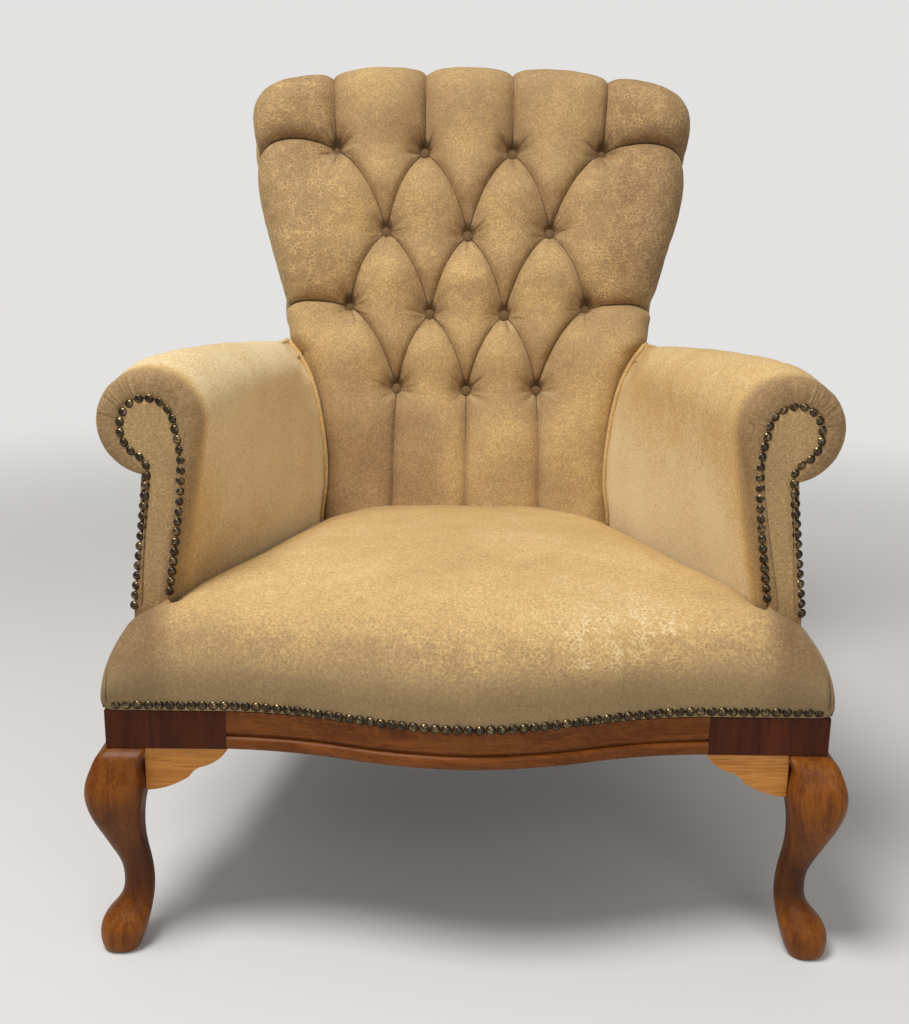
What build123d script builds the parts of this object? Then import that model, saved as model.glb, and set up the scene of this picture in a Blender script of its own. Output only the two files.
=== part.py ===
"""Buttoned armchair with scroll arms, a sprung seat and cabriole front legs.

Millimetres. X runs to the right as seen from the front, Y runs from front to back, Z up.
The front face of the corner blocks is at Y = 0 and the floor is at Z = 0 while the chair is
made; at the end every piece moves together, so that the middle of the whole chair's
footprint is the origin. Left and right are the chair's sides as seen from the front.
"""
from build123d import *
import os
from math import acos, asin, atan2, cos, hypot, pi, radians, sin, tan

# Seat frame and show wood
LEG_HEIGHT = 229.0             # floor to the underside of the seat frame
RAIL_HEIGHT = 41.0
FRONT_HALF_WIDTH = 368.0       # middle of the chair to the outer face of a corner block
BLOCK_WIDTH = 123.0
BLOCK_DEPTH = 80.0
FRONT_RAIL_THICKNESS = 22.0    # at the ends of the show rail
FRONT_BOW = 42.0               # how far the middle of the show rail stands forward
BEAD_HEIGHT = 14.0
BEAD_PROUD = 3.0
GROOVE_HEIGHT = 4.0
GROOVE_DEPTH = 3.0
INNER_RAIL_THICKNESS = 24.0
SIDE_RAIL_THICKNESS = 26.0
BACK_RAIL_THICKNESS = 24.0
BRACE_LEG = 70.0               # along each rail
BRACE_HEIGHT = 28.0
DOWEL_RADIUS = 5.0
DOWEL_LENGTH = 44.0
DOWEL_FIT = 0.1                # all round a dowel in its hole
SEAT_GAP = 0.3                 # between a soft piece and what carries it
SOFT_GAP = 0.5                 # between two soft pieces that press together
OVERRUN = 30.0                 # how far a cutting solid stands past what it cuts

# Cabriole front legs
LEG_TOP_WIDTH = 36.0
LEG_KNEE_WIDTH = 59.5
LEG_ANKLE_WIDTH = 30.0
LEG_FOOT_WIDTH = 47.0
LEG_TOP_INSET = 20.0           # corner of the block to the leg's middle, along X and along Y
LEG_KNEE_INSET = 7.0
LEG_ANKLE_INSET = 21.0
LEG_FOOT_INSET = 6.0
EAR_LENGTH = 86.0
EAR_HEIGHT = 48.0
EAR_THICKNESS = 24.0
EAR_SETBACK = 3.0

# Back posts, rear legs and back frame, set out on the raked plane of the back
BACK_RAKE = 19.3               # degrees from upright
BACK_FOOT_Y = 568.0            # the plane's line X = 0, S = 0
BACK_FOOT_Z = 348.2
POST_THICKNESS = 26.0
POST_LOW_INNER = 215.0
POST_LOW_OUTER = 260.0
POST_WAIST_INNER = 205.0
POST_WAIST_OUTER = 230.0
POST_TOP_INNER = 262.0
POST_TOP_OUTER = 298.0
POST_KNEE_S = -70.0
POST_WAIST_S = 30.0
POST_FLARE_S = 230.0
POST_TOP_S = 552.0
CREST_RAIL_HEIGHT = 54.0
CREST_RAIL_HALF = 284.0
CREST_SHOULDER = 250.0
LOWER_RAIL_S = -44.0
LOWER_RAIL_HEIGHT = 34.0
REAR_FOOT_FRONT = 640.0
REAR_FOOT_DEPTH = 32.0
REAR_LEG_WIDTH = 36.0
REAR_LEG_BEND = 16.0

# Outside of the body in plan and the arms
ARM_FRONT = 79.0               # front of the facing boards
SIDE_FRONT_LOW = 360.0         # outer face at the front, at the bottom
SIDE_FRONT_HIGH = 340.0        # outer face at the front, under the scroll
SIDE_REAR_LOW = 270.0
SIDE_REAR_HIGH = 252.0
SIDE_REAR_Y = 560.0
PANEL_THICKNESS = 3.0
PANEL_HEM = 3.0                # the side panels end this far above the rail's underside
ARM_INNER_FRONT = 314.0        # inside of the arm beside the seat
ARM_INNER_REAR = 190.0
WING_BACK = 72.0               # back of the seat's wings in front of the arms
SEAT_REAR = 497.0
INNER_TOP = 360.0              # the inside of the arm is upright up to here
FACING_THICKNESS = 3.0
BOARD_THICKNESS = 26.0
COVER_THICKNESS = 2.0
SIDE_HIGH_Z = 495.0            # height of the outer face's upper line
ARM_PADDING = 28.0
ROLL_CORE_HALF = 19.0          # half the width of the arm's top rail
TACK_RAIL_HEIGHT = 34.0
TACK_RAIL_THICKNESS = 18.0
TACK_RAIL_LIFT = 34.0

# Scroll of the arm: distance back from the facing, middle and radius
SCROLL_STATIONS = (
    (16.0, 330.0, 549.0, 55.0),
    (71.0, 325.0, 555.0, 57.0),
    (141.0, 311.0, 556.0, 55.0),
    (251.0, 289.0, 553.5, 51.0),
    (351.0, 264.0, 550.0, 46.0),
    (418.0, 252.0, 545.0, 42.0),
)
NECK_STEPS = 4                 # passes that settle where the scroll meets the side
FRONT_ROUND = 14.0             # radius of the arm's soft front edge

# Seat
SEAT_HALF_WIDTH = 372.0
SEAT_CROWN = 125.0             # above the rails, at the highest
NAIL_BAND = 14.0               # upright strip above the rail, where the nails sit
SEAT_BULGE = 5.0
NOSE_DEPTH = 78.0
WING_ROUND = 14.0
SPRING_COUNT = 6
SPRING_WIRE = 1.9              # radius
SPRING_HALF_WIDTH = 20.0
SPRING_TURNS = 17
CLIP_WIDTH = 14.0
CLIP_DEPTH = 10.0
CLIP_THICKNESS = 0.4
HESSIAN = 1.0
DUST_COVER = 0.8

# Buttoned back, distances from the raked plane
PILLOW_TOP = 72.0
PILLOW_VALLEY = 44.0
PADDING_BASE = 3.3
WEB_THICKNESS = 1.6
WEB_WIDTH = 48.0
WEB_COUNT = 4
BUTTON_RADIUS = 10.5
BUTTON_THICKNESS = 7.0
BUTTON_POCKET = 11.5           # radius of the pit round a button
BUTTON_DEPTH = 4.0             # below the valleys
BACK_HALF_WIDTH = 319.0
BACK_HEIGHT = 640.0
BACK_FOOT = 50.0               # the stuffing goes this far down behind the seat
RIM_START = 245.0              # from here up the cover wraps the posts
RIM_PADDING = 9.0
OUTSIDE_BACK = 4.0

# Nails and welt
NAIL_RADIUS = 5.2
NAIL_HEIGHT = 3.6
NAIL_PITCH = 10.9
NAIL_DROP = 5.0                # how far the nail line on the rail dips in the middle
WELT_RADIUS = 3.0

RAIL_TOP = LEG_HEIGHT + RAIL_HEIGHT
RAKE = radians(BACK_RAKE)
BLOCK_INNER = FRONT_HALF_WIDTH - BLOCK_WIDTH
INNER_RAIL_BACK = FRONT_RAIL_THICKNESS + INNER_RAIL_THICKNESS
BACK_PLANE = Plane(
    origin=(0, BACK_FOOT_Y, BACK_FOOT_Z), x_dir=(1, 0, 0), z_dir=(0, -cos(RAKE), sin(RAKE))
)

# Buttons on the raked plane, as shares of the back's half width and of its height
ROW_SHARES = (0.800, 0.609, 0.434, 0.252)
BUTTON_SHARES = (
    (-0.605, -0.2, 0.2, 0.605),
    (-0.373, 0.0, 0.373),
    (-0.533, -0.168, 0.168, 0.533),
    (-0.316, 0.0, 0.316),
)
EAR_SHARES = (
    (0.0, 1.0), (0.26, 0.91), (0.52, 0.67), (0.58, 0.54), (0.66, 0.45), (0.86, 0.29), (1.0, 0.0),
)
PLEAT_EASE_SHARE = 0.62        # how far a pleat has moved sideways at half its height
CREST_SEAM_SHARES = ((0.62, 0.982), (0.2, 0.996))
# A pillow's outline and rise: share of its outline, share of its height
PILLOW_SHARES = ((0.975, 0.0), (0.93, 0.42), (0.80, 0.75), (0.58, 0.94), (0.30, 1.0))

# Seat stations: across, height of the crown, of the nose and of the back end, as shares
SEAT_SHARES = (
    (0.0, 1.0, 0.92, 0.816),
    (0.128, 0.994, 0.915, 0.812),
    (0.255, 0.976, 0.90, 0.80),
    (0.383, 0.938, 0.872, 0.74),
    (0.509, 0.88, 0.83, 0.64),
    (0.55, 0.862, 0.816, 0.642),
    (0.59, 0.848, 0.804, 0.645),
    (0.625, 0.838, 0.795, 0.648),
    (0.66, 0.828, 0.787, 0.65),
    (0.75, 0.805, 0.77, 0.70),
    (0.844, 0.784, 0.75, 0.776),
    (0.93, 0.66, 0.62, 0.65),
    (1.0, 0.29, 0.27, 0.28),
)

# Leg stations: height as a share, then how the middle and the width pass from one named
# size to the next, and how round the corners are
LEG_STATIONS = (
    (1.0, LEG_TOP_INSET, LEG_TOP_WIDTH, 0.25),
    (0.926, LEG_KNEE_INSET * 1.45, LEG_KNEE_WIDTH * 0.82, 0.3),
    (0.865, LEG_KNEE_INSET * 1.2, LEG_KNEE_WIDTH * 0.945, 0.4),
    (0.80, LEG_KNEE_INSET * 1.04, LEG_KNEE_WIDTH, 0.5),
    (0.73, LEG_KNEE_INSET * 0.91, LEG_KNEE_WIDTH * 0.93, 0.6),
    (0.637, LEG_KNEE_INSET * 1.16, LEG_KNEE_WIDTH * 0.79, 0.7),
    (0.57, LEG_ANKLE_INSET * 0.52, LEG_ANKLE_WIDTH * 1.35, 0.75),
    (0.506, LEG_ANKLE_INSET * 0.67, LEG_ANKLE_WIDTH * 1.19, 0.8),
    (0.40, LEG_ANKLE_INSET * 0.93, LEG_ANKLE_WIDTH * 1.01, 0.85),
    (0.323, LEG_ANKLE_INSET, LEG_ANKLE_WIDTH, 0.85),
    (0.245, LEG_ANKLE_INSET * 0.93, LEG_ANKLE_WIDTH * 1.09, 0.85),
    (0.192, LEG_ANKLE_INSET * 0.71, LEG_ANKLE_WIDTH * 1.32, 0.85),
    (0.148, LEG_FOOT_INSET * 1.6, LEG_FOOT_WIDTH, 0.85),
    (0.085, LEG_FOOT_INSET, LEG_FOOT_WIDTH, 0.85),
    (0.026, LEG_FOOT_INSET * 0.72, LEG_FOOT_WIDTH * 0.86, 0.85),
    (0.0, LEG_FOOT_INSET * 0.75, LEG_FOOT_WIDTH * 0.71, 0.85),
)


def face(start, moves, place):
    """Closed flat face. A move is (end,) for a line or (middle, end) for an arc."""
    edges = []
    here = start
    for move in moves:
        if len(move) == 2:
            edges.append(ThreePointArc(place(here), place(move[0]), place(move[1])))
        else:
            edges.append(Line(place(here), place(move[0])))
        here = move[-1]
    return make_face(edges)


def across(y):
    """Puts a point (x, z) on the upright plane that faces the sitter, at y."""
    return lambda p: (p[0], y, p[1])


def beside(x):
    """Puts a point (y, z) on the upright plane across the chair, at x."""
    return lambda p: (x, p[0], p[1])


def level(z):
    """Puts a point (x, y) on the level plane, at z."""
    return lambda p: (p[0], p[1], z)


def polygon(points, place):
    return face(points[0], [(p,) for p in points[1:]] + [(points[0],)], place)


def block(x0, x1, y0, y1, z0, z1):
    return Pos(x0, y0, z0) * Box(x1 - x0, y1 - y0, z1 - z0, align=(Align.MIN,) * 3)


def on_back(local):
    """Moves a piece from the back's own coordinates (x, s, n) to the chair."""
    return BACK_PLANE.location * local


def back_slab(points, n0, n1):
    """A plate on the raked plane, from n0 to n1 in front of it."""
    return on_back(extrude(polygon(points, level(n0)), n1 - n0, dir=(0, 0, 1)))


def raked_y(z, n):
    """Y of the raked plane's layer n at height z."""
    return BACK_FOOT_Y + (z - BACK_FOOT_Z) * tan(RAKE) - n / cos(RAKE)


def raked_s(z, n):
    """Distance up the raked layer n at height z."""
    return (z - BACK_FOOT_Z - n * sin(RAKE)) / cos(RAKE)


def in_front_of(solid, n):
    """What is left of a solid in front of the raked layer n."""
    reach = BACK_HEIGHT * 2
    room = Pos(0, 0, n + reach / 2) * Box(reach * 2, reach * 2, reach)
    return solid & on_back(room)


def mirrored(solid):
    return mirror(solid, about=Plane.YZ)


def dowel(middle, direction):
    return Plane(origin=middle, z_dir=direction).location * Cylinder(DOWEL_RADIUS, DOWEL_LENGTH)


def dowel_hole(middle, direction):
    hole = Cylinder(DOWEL_RADIUS + DOWEL_FIT, DOWEL_LENGTH + SEAT_GAP * 2)
    return Plane(origin=middle, z_dir=direction).location * hole


def side_x(y, z):
    """Outer face of the chair's side at y and height z."""
    high_share = (z - LEG_HEIGHT) / (SIDE_HIGH_Z - LEG_HEIGHT)
    along = (y - ARM_FRONT) / (SIDE_REAR_Y - ARM_FRONT)
    low = SIDE_FRONT_LOW + (SIDE_REAR_LOW - SIDE_FRONT_LOW) * along
    high = SIDE_FRONT_HIGH + (SIDE_REAR_HIGH - SIDE_FRONT_HIGH) * along
    return low + (high - low) * high_share


def inner_x(y):
    """Inside of the arm beside the seat at y."""
    along = min(1, (y - WING_BACK) / (SEAT_REAR - WING_BACK))
    return ARM_INNER_FRONT + (ARM_INNER_REAR - ARM_INNER_FRONT) * along


def inner_y(x):
    """Where along the chair the inside of the arm stands at x."""
    along = (x - ARM_INNER_FRONT) / (ARM_INNER_REAR - ARM_INNER_FRONT)
    return WING_BACK + (SEAT_REAR - WING_BACK) * along


def bow(x):
    """How far the serpentine front stands forward at x."""
    reach = min(abs(x), BLOCK_INNER)
    return FRONT_BOW * (1 + cos(pi * reach / BLOCK_INNER)) / 2


def bow_moves(proud):
    """The serpentine line from left to right as two double curves."""
    turns = [-BLOCK_INNER, -BLOCK_INNER / 2, 0, BLOCK_INNER / 2, BLOCK_INNER]
    moves = []
    for a, b in zip(turns, turns[1:]):
        middle = (a + b) / 2
        moves.append(((middle, -bow(middle) - proud), (b, -bow(b) - proud)))
    return moves


def front_rail_layer(proud, z0, z1):
    moves = bow_moves(proud)
    moves.append(((BLOCK_INNER, FRONT_RAIL_THICKNESS),))
    moves.append(((-BLOCK_INNER, FRONT_RAIL_THICKNESS),))
    moves.append(((-BLOCK_INNER, -proud),))
    return extrude(face((-BLOCK_INNER, -proud), moves, level(z0)), z1 - z0, dir=(0, 0, 1))


def front_rail():
    """Show rail: a rounded bead below, a groove, then a flat band."""
    bead_top = LEG_HEIGHT + BEAD_HEIGHT
    groove_top = bead_top + GROOVE_HEIGHT
    bead = front_rail_layer(BEAD_PROUD, LEG_HEIGHT, bead_top)
    front_edges = [e for e in bead.edges() if e.center().Y < 0 and e.length > BEAD_HEIGHT * 2]
    bead = fillet(front_edges, BEAD_HEIGHT * 0.35)
    groove = front_rail_layer(-GROOVE_DEPTH, bead_top, groove_top)
    return bead + groove + front_rail_layer(0, groove_top, RAIL_TOP)


def leg_point(z_share, inset):
    return (FRONT_HALF_WIDTH - inset, inset, LEG_HEIGHT * z_share)


def front_leg():
    sections = []
    for height_share, inset, width, round_share in LEG_STATIONS:
        outline = RectangleRounded(width, width, width / 2 * round_share)
        sections.append(Pos(*leg_point(height_share, inset)) * outline)
    return loft(sections)


def leg_dowel_place():
    return leg_point(1, LEG_TOP_INSET)


def ear(place, direction):
    """Shaped block beside the knee, drawn on (along, z) from the chair's corner."""
    start = LEG_TOP_INSET + LEG_TOP_WIDTH / 2
    points = [(start + EAR_LENGTH * a, LEG_HEIGHT - EAR_HEIGHT * b) for a, b in EAR_SHARES]
    moves = [
        (points[1], points[2]),
        (points[3], points[4]),
        (points[5], points[6]),
        ((start, LEG_HEIGHT),),
        (points[0],),
    ]
    return extrude(face(points[0], moves, place), EAR_THICKNESS, dir=direction)


def front_ear(leg):
    body = ear(lambda p: (FRONT_HALF_WIDTH - p[0], EAR_SETBACK, p[1]), (0, 1, 0))
    return body - leg


def side_ear(leg):
    body = ear(lambda p: (FRONT_HALF_WIDTH - EAR_SETBACK, p[0], p[1]), (-1, 0, 0))
    return body - leg


def corner_block():
    body = block(BLOCK_INNER, FRONT_HALF_WIDTH, 0, BLOCK_DEPTH, LEG_HEIGHT, RAIL_TOP)
    return body - dowel_hole(leg_dowel_place(), (0, 0, 1))


def post_outline(grow):
    """Right back post on the raked plane, grown by a clearance to each side."""
    foot_s = raked_s(LEG_HEIGHT, 0)
    return [
        (POST_LOW_INNER - grow, foot_s),
        (POST_LOW_OUTER + grow, foot_s),
        (POST_LOW_OUTER + grow, POST_KNEE_S),
        (POST_WAIST_OUTER + grow, POST_WAIST_S),
        (POST_WAIST_OUTER + grow, POST_FLARE_S),
        (POST_TOP_OUTER + grow, POST_TOP_S),
        (POST_TOP_INNER - grow, POST_TOP_S),
        (POST_WAIST_INNER - grow, POST_FLARE_S),
        (POST_WAIST_INNER - grow, POST_WAIST_S),
        (POST_LOW_INNER - grow, POST_KNEE_S),
    ]


def rear_leg():
    """Back post and rear leg in one piece, raked back above the seat and splayed below."""
    post = back_slab(post_outline(0), -POST_THICKNESS, 0)
    spare = block(0, SIDE_FRONT_LOW, 0, BACK_FOOT_Y + OVERRUN, 0, LEG_HEIGHT)
    post = post - spare
    top = LEG_HEIGHT
    front_top = (raked_y(top, 0), top)
    back_top = (raked_y(top, -POST_THICKNESS), top)
    front_foot = (REAR_FOOT_FRONT, 0)
    back_foot = (REAR_FOOT_FRONT + REAR_FOOT_DEPTH, 0)
    front_middle = ((front_top[0] + front_foot[0]) / 2 - REAR_LEG_BEND, top / 2)
    back_middle = ((back_top[0] + back_foot[0]) / 2 - REAR_LEG_BEND, top / 2)
    moves = [(front_middle, front_foot), (back_foot,), (back_middle, back_top), (front_top,)]
    outer = POST_LOW_OUTER - (POST_LOW_OUTER - POST_LOW_INNER - REAR_LEG_WIDTH) / 2
    shape = face(front_top, moves, beside(outer - REAR_LEG_WIDTH))
    return post + extrude(shape, REAR_LEG_WIDTH, dir=(1, 0, 0))


def bar(y0, y1, outer_low, outer_high, thickness, z0, z1):
    """Straight rail from y0 to y1, its outer face running from one x to another."""
    corners = [
        (outer_low, y0),
        (outer_high, y1),
        (outer_high - thickness, y1),
        (outer_low - thickness, y0),
    ]
    return extrude(polygon(corners, level(z0)), z1 - z0, dir=(0, 0, 1))


def rail_outer_x(y):
    return side_x(y, RAIL_TOP) - PANEL_THICKNESS - SEAT_GAP


def side_rail():
    far = BACK_FOOT_Y
    body = bar(
        BLOCK_DEPTH, far, rail_outer_x(BLOCK_DEPTH), rail_outer_x(far),
        SIDE_RAIL_THICKNESS, LEG_HEIGHT, RAIL_TOP,
    )
    return in_front_of(body, 0)


def back_rail():
    foot = raked_s(LEG_HEIGHT, 0)
    body = back_slab(
        [
            (-POST_LOW_INNER, foot - RAIL_HEIGHT),
            (POST_LOW_INNER, foot - RAIL_HEIGHT),
            (POST_LOW_INNER, foot + RAIL_HEIGHT * 2),
            (-POST_LOW_INNER, foot + RAIL_HEIGHT * 2),
        ],
        -BACK_RAIL_THICKNESS, 0,
    )
    keep = block(-POST_LOW_INNER, POST_LOW_INNER, 0, REAR_FOOT_FRONT, LEG_HEIGHT, RAIL_TOP)
    return body & keep


def inner_front_rail():
    return block(
        -BLOCK_INNER, BLOCK_INNER, FRONT_RAIL_THICKNESS, INNER_RAIL_BACK, LEG_HEIGHT, RAIL_TOP
    )


def brace(corner, along_x, along_y):
    """Three-cornered block glued into a corner of the seat frame."""
    x, y = corner
    z0 = LEG_HEIGHT + (RAIL_HEIGHT - BRACE_HEIGHT) / 2
    points = [(x, y), (x + along_x, y), (x, y + along_y)]
    return extrude(polygon(points, level(z0)), BRACE_HEIGHT, dir=(0, 0, 1))


def corner_braces():
    """Front pair between the inner rail and the blocks, rear pair at the back rail."""
    front = brace((BLOCK_INNER, INNER_RAIL_BACK), -BRACE_LEG, BLOCK_DEPTH - INNER_RAIL_BACK)
    z0 = LEG_HEIGHT + (RAIL_HEIGHT - BRACE_HEIGHT) / 2
    z1 = z0 + BRACE_HEIGHT
    near = raked_y(z0, 0) - BRACE_LEG
    inner = rail_outer_x(near) - SIDE_RAIL_THICKNESS
    back = raked_y(z1, 0) + OVERRUN
    inner_back = rail_outer_x(back) - SIDE_RAIL_THICKNESS
    points = [(inner, near), (inner_back, back), (inner - BRACE_LEG, back)]
    rear = in_front_of(extrude(polygon(points, level(z0)), BRACE_HEIGHT, dir=(0, 0, 1)), 0)
    return [front, mirrored(front), rear, mirrored(rear)]


def crest_rail():
    shoulder = POST_TOP_S + CREST_RAIL_HEIGHT * 0.4
    top = POST_TOP_S + CREST_RAIL_HEIGHT
    half = [(CREST_RAIL_HALF, POST_TOP_S), (CREST_RAIL_HALF, shoulder), (CREST_SHOULDER, top)]
    points = half + [(-x, s) for x, s in reversed(half)]
    return back_slab(points, -POST_THICKNESS, 0)


def lower_back_rail():
    top = LOWER_RAIL_S + LOWER_RAIL_HEIGHT
    part = (POST_WAIST_S - POST_KNEE_S)
    low = POST_LOW_INNER - (POST_LOW_INNER - POST_WAIST_INNER) * (LOWER_RAIL_S - POST_KNEE_S) / part
    high = POST_LOW_INNER - (POST_LOW_INNER - POST_WAIST_INNER) * (top - POST_KNEE_S) / part
    points = [(-low, LOWER_RAIL_S), (low, LOWER_RAIL_S), (high, top), (-high, top)]
    return back_slab(points, -BACK_RAIL_THICKNESS, 0)


def crest_dowels():
    middle = (POST_TOP_INNER + POST_TOP_OUTER) / 2 - DOWEL_RADIUS
    places = [(x, POST_TOP_S, -POST_THICKNESS / 2) for x in (middle, -middle)]
    return places, (0, 1, 0)


def frame_dowels():
    """Each dowel as (pin, hole), by the joint that it holds."""
    up = (0, 0, 1)
    leg = leg_dowel_place()
    legs = [leg, (-leg[0], leg[1], leg[2])]
    level_z = LEG_HEIGHT + RAIL_HEIGHT / 2
    rail_x = rail_outer_x(BLOCK_DEPTH) - SIDE_RAIL_THICKNESS / 2
    rails = [(rail_x, BLOCK_DEPTH, level_z), (-rail_x, BLOCK_DEPTH, level_z)]
    front_y = (FRONT_RAIL_THICKNESS + INNER_RAIL_BACK) / 2
    fronts = [(BLOCK_INNER, front_y, level_z), (-BLOCK_INNER, front_y, level_z)]
    joints = [(p, up) for p in legs] + [(p, (0, 1, 0)) for p in rails]
    joints += [(p, (1, 0, 0)) for p in fronts]
    pins = [dowel(p, d) for p, d in joints]
    holes = [dowel_hole(p, d) for p, d in joints]
    places, direction = crest_dowels()
    pins += [on_back(dowel(p, direction)) for p in places]
    holes += [on_back(dowel_hole(p, direction)) for p in places]
    return pins, holes


def drilled(solid, holes):
    box = solid.bounding_box()
    for hole in holes:
        other = hole.bounding_box()
        apart = (
            other.min.X > box.max.X or other.max.X < box.min.X
            or other.min.Y > box.max.Y or other.max.Y < box.min.Y
            or other.min.Z > box.max.Z or other.max.Z < box.min.Z
        )
        if not apart:
            solid = solid - hole
    return solid


def scroll_neck(station, inset):
    """Where the outer face of the arm's stem meets the underside of the scroll."""
    back, middle_x, middle_z, radius = station
    r = radius - inset
    recess = PANEL_THICKNESS + SEAT_GAP + inset
    angle = -pi / 2
    for _ in range(NECK_STEPS):
        stem = side_x(ARM_FRONT + back, middle_z + r * sin(angle)) - recess
        angle = -acos(max(-1, min(1, (stem - middle_x) / r)))
    return stem, middle_z + r * sin(angle), angle


def arm_outline(station, inset, bottom):
    """Closed outline of the arm: inside face, scroll, outside face, drawn in by inset."""
    back, middle_x, middle_z, radius = station
    y = ARM_FRONT + back
    r = radius - inset
    low = side_x(y, bottom) - PANEL_THICKNESS - SEAT_GAP - inset
    stem, neck_z, under = scroll_neck(station, inset)
    inner = inner_x(y) + inset
    away = hypot(inner - middle_x, INNER_TOP - middle_z)
    heading = atan2(INNER_TOP - middle_z, inner - middle_x)
    touch = heading - acos(r / away)
    on_roll = lambda a: (middle_x + r * cos(a), middle_z + r * sin(a))
    turn = 2 * pi + touch if touch < 0 else touch
    moves = [
        ((inner, INNER_TOP),),
        (on_roll(turn),),
        (on_roll((turn + pi / 2) / 2), on_roll(pi / 2)),
        (on_roll(pi / 4), on_roll(0)),
        (on_roll(under / 2), (stem, neck_z)),
        ((low, bottom),),
        ((inner, bottom),),
    ]
    return face((inner, bottom), moves, across(y))


def moved_station(station, back):
    return (back,) + station[1:]


def arm_form(inset):
    """The upholstered arm as one solid with a soft front edge, up to the posts' rear."""
    bottom = RAIL_TOP - OVERRUN
    first = SCROLL_STATIONS[0]
    last = SCROLL_STATIONS[-1]
    front = FACING_THICKNESS + SEAT_GAP + inset
    near = FRONT_ROUND * 0.4 + inset
    rounds = [
        arm_outline(moved_station(first, front), FRONT_ROUND + inset, bottom),
        arm_outline(moved_station(first, front + FRONT_ROUND * 0.3), near, bottom),
        arm_outline(first, inset, bottom),
    ]
    sides = [arm_outline(s, inset, bottom) for s in SCROLL_STATIONS]
    rear = moved_station(last, last[0] + (BACK_FOOT_Y + BACK_HEIGHT / 4 - ARM_FRONT - last[0]))
    tail = [arm_outline(last, inset, bottom), arm_outline(rear, inset, bottom)]
    body = loft(rounds) + loft(sides) + loft(tail, ruled=True)
    return in_front_of(body, -POST_THICKNESS)


def arm_rear_cutter(grow):
    """What the posts and the buttoned back need clear of the arm's rear end."""
    reach = BACK_HEIGHT
    points = [
        (0, -reach),
        (POST_LOW_OUTER + grow, -reach),
        (POST_LOW_OUTER + grow, POST_KNEE_S),
        (POST_WAIST_OUTER + grow, POST_WAIST_S),
        (POST_WAIST_OUTER + grow, POST_FLARE_S),
        (POST_TOP_OUTER + grow, POST_TOP_S),
        (0, POST_TOP_S),
    ]
    return back_slab(points, -POST_THICKNESS - OVERRUN, PADDING_BASE)


def board_outline(y, grow, bottom):
    inset = FRONT_ROUND + COVER_THICKNESS + SOFT_GAP * 3 - grow
    return arm_outline(moved_station(SCROLL_STATIONS[0], y - ARM_FRONT), inset, bottom)


def board_front():
    return ARM_FRONT + FACING_THICKNESS + SEAT_GAP * 2 + COVER_THICKNESS


def arm_board():
    """Front stump of the arm: a board sawn to the scroll."""
    return extrude(board_outline(board_front(), 0, RAIL_TOP), BOARD_THICKNESS, dir=(0, 1, 0))


def board_room():
    outline = board_outline(board_front() - SOFT_GAP, SOFT_GAP, RAIL_TOP - OVERRUN)
    return extrude(outline, BOARD_THICKNESS + SOFT_GAP * 2, dir=(0, 1, 0))


def board_back():
    return board_front() + BOARD_THICKNESS


def core_section(y, half, centre, low, high):
    points = [
        (centre - half, low), (centre + half, low), (centre + half, high), (centre - half, high)
    ]
    return polygon(points, across(y))


def scroll_middle(y):
    """Straight line through the scroll's middle, for the rail inside it."""
    first = SCROLL_STATIONS[0]
    last = SCROLL_STATIONS[-1]
    along = min(1, (y - ARM_FRONT - first[0]) / (last[0] - first[0]))
    return first[1] + (last[1] - first[1]) * along, first[2] + (last[2] - first[2]) * along


def arm_places():
    """Where the arm's inner pieces change direction: board, last station, past the post."""
    return board_back(), ARM_FRONT + SCROLL_STATIONS[-1][0], BACK_FOOT_Y + BACK_HEIGHT / 4


def arm_place_stations():
    """The scroll at those places, on straight lines between the first and last stations."""
    first, last = SCROLL_STATIONS[0], SCROLL_STATIONS[-1]
    stations = []
    for y in arm_places():
        along = min(1, (y - ARM_FRONT - first[0]) / (last[0] - first[0]))
        radius = first[3] + (last[3] - first[3]) * along
        stations.append((y - ARM_FRONT, *scroll_middle(y), radius))
    return stations


def arm_top_rail():
    sections = []
    for y in arm_places():
        x, z = scroll_middle(y)
        half = ROLL_CORE_HALF
        sections.append(core_section(y, half, x, z - half, z + half))
    return in_front_of(loft(sections, ruled=True), 0)


def arm_tacking_rail():
    low = RAIL_TOP + TACK_RAIL_LIFT
    sections = []
    for y in (board_back(), BACK_FOOT_Y + OVERRUN):
        outer = side_x(y, low + TACK_RAIL_HEIGHT) - PANEL_THICKNESS - SEAT_GAP
        centre = outer - TACK_RAIL_THICKNESS / 2
        sections.append(
            core_section(y, TACK_RAIL_THICKNESS / 2, centre, low, low + TACK_RAIL_HEIGHT)
        )
    return in_front_of(loft(sections, ruled=True), 0)


def arm_hollow():
    """Space inside the arm behind the board, open towards the outside panel."""
    sections = []
    low = RAIL_TOP - OVERRUN
    for y, station in zip(arm_places(), arm_place_stations()):
        x, z = scroll_middle(y)
        inner = inner_x(y) + min(ARM_PADDING, (side_x(y, low) - inner_x(y)) / 3)
        half = ROLL_CORE_HALF + SOFT_GAP
        stem, neck, _ = scroll_neck(station, 0)
        lip = max(stem, x) - half / 2
        points = [
            (inner, low), (inner, INNER_TOP), (x - half, z - half), (x - half, z + half),
            (x + half, z + half), (x + half, z - half), (lip, neck + SOFT_GAP), (lip, neck),
            (stem + OVERRUN, neck), (stem + OVERRUN, low),
        ]
        sections.append(polygon(points, across(y)))
    return loft(sections, ruled=True)


def arm_cover_and_padding():
    """Cover as a skin, open below and on the outside, and the padding inside it."""
    rear = arm_rear_cutter(SOFT_GAP)
    hollow = arm_hollow()
    under = block(0, SIDE_FRONT_LOW, 0, BACK_FOOT_Y + BACK_HEIGHT, 0, RAIL_TOP + SEAT_GAP)
    cover = arm_form(0) - arm_form(COVER_THICKNESS) - rear - hollow - under
    stuffing = arm_form(COVER_THICKNESS + SEAT_GAP) - board_room() - hollow - rear - under
    return cover, stuffing


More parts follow.
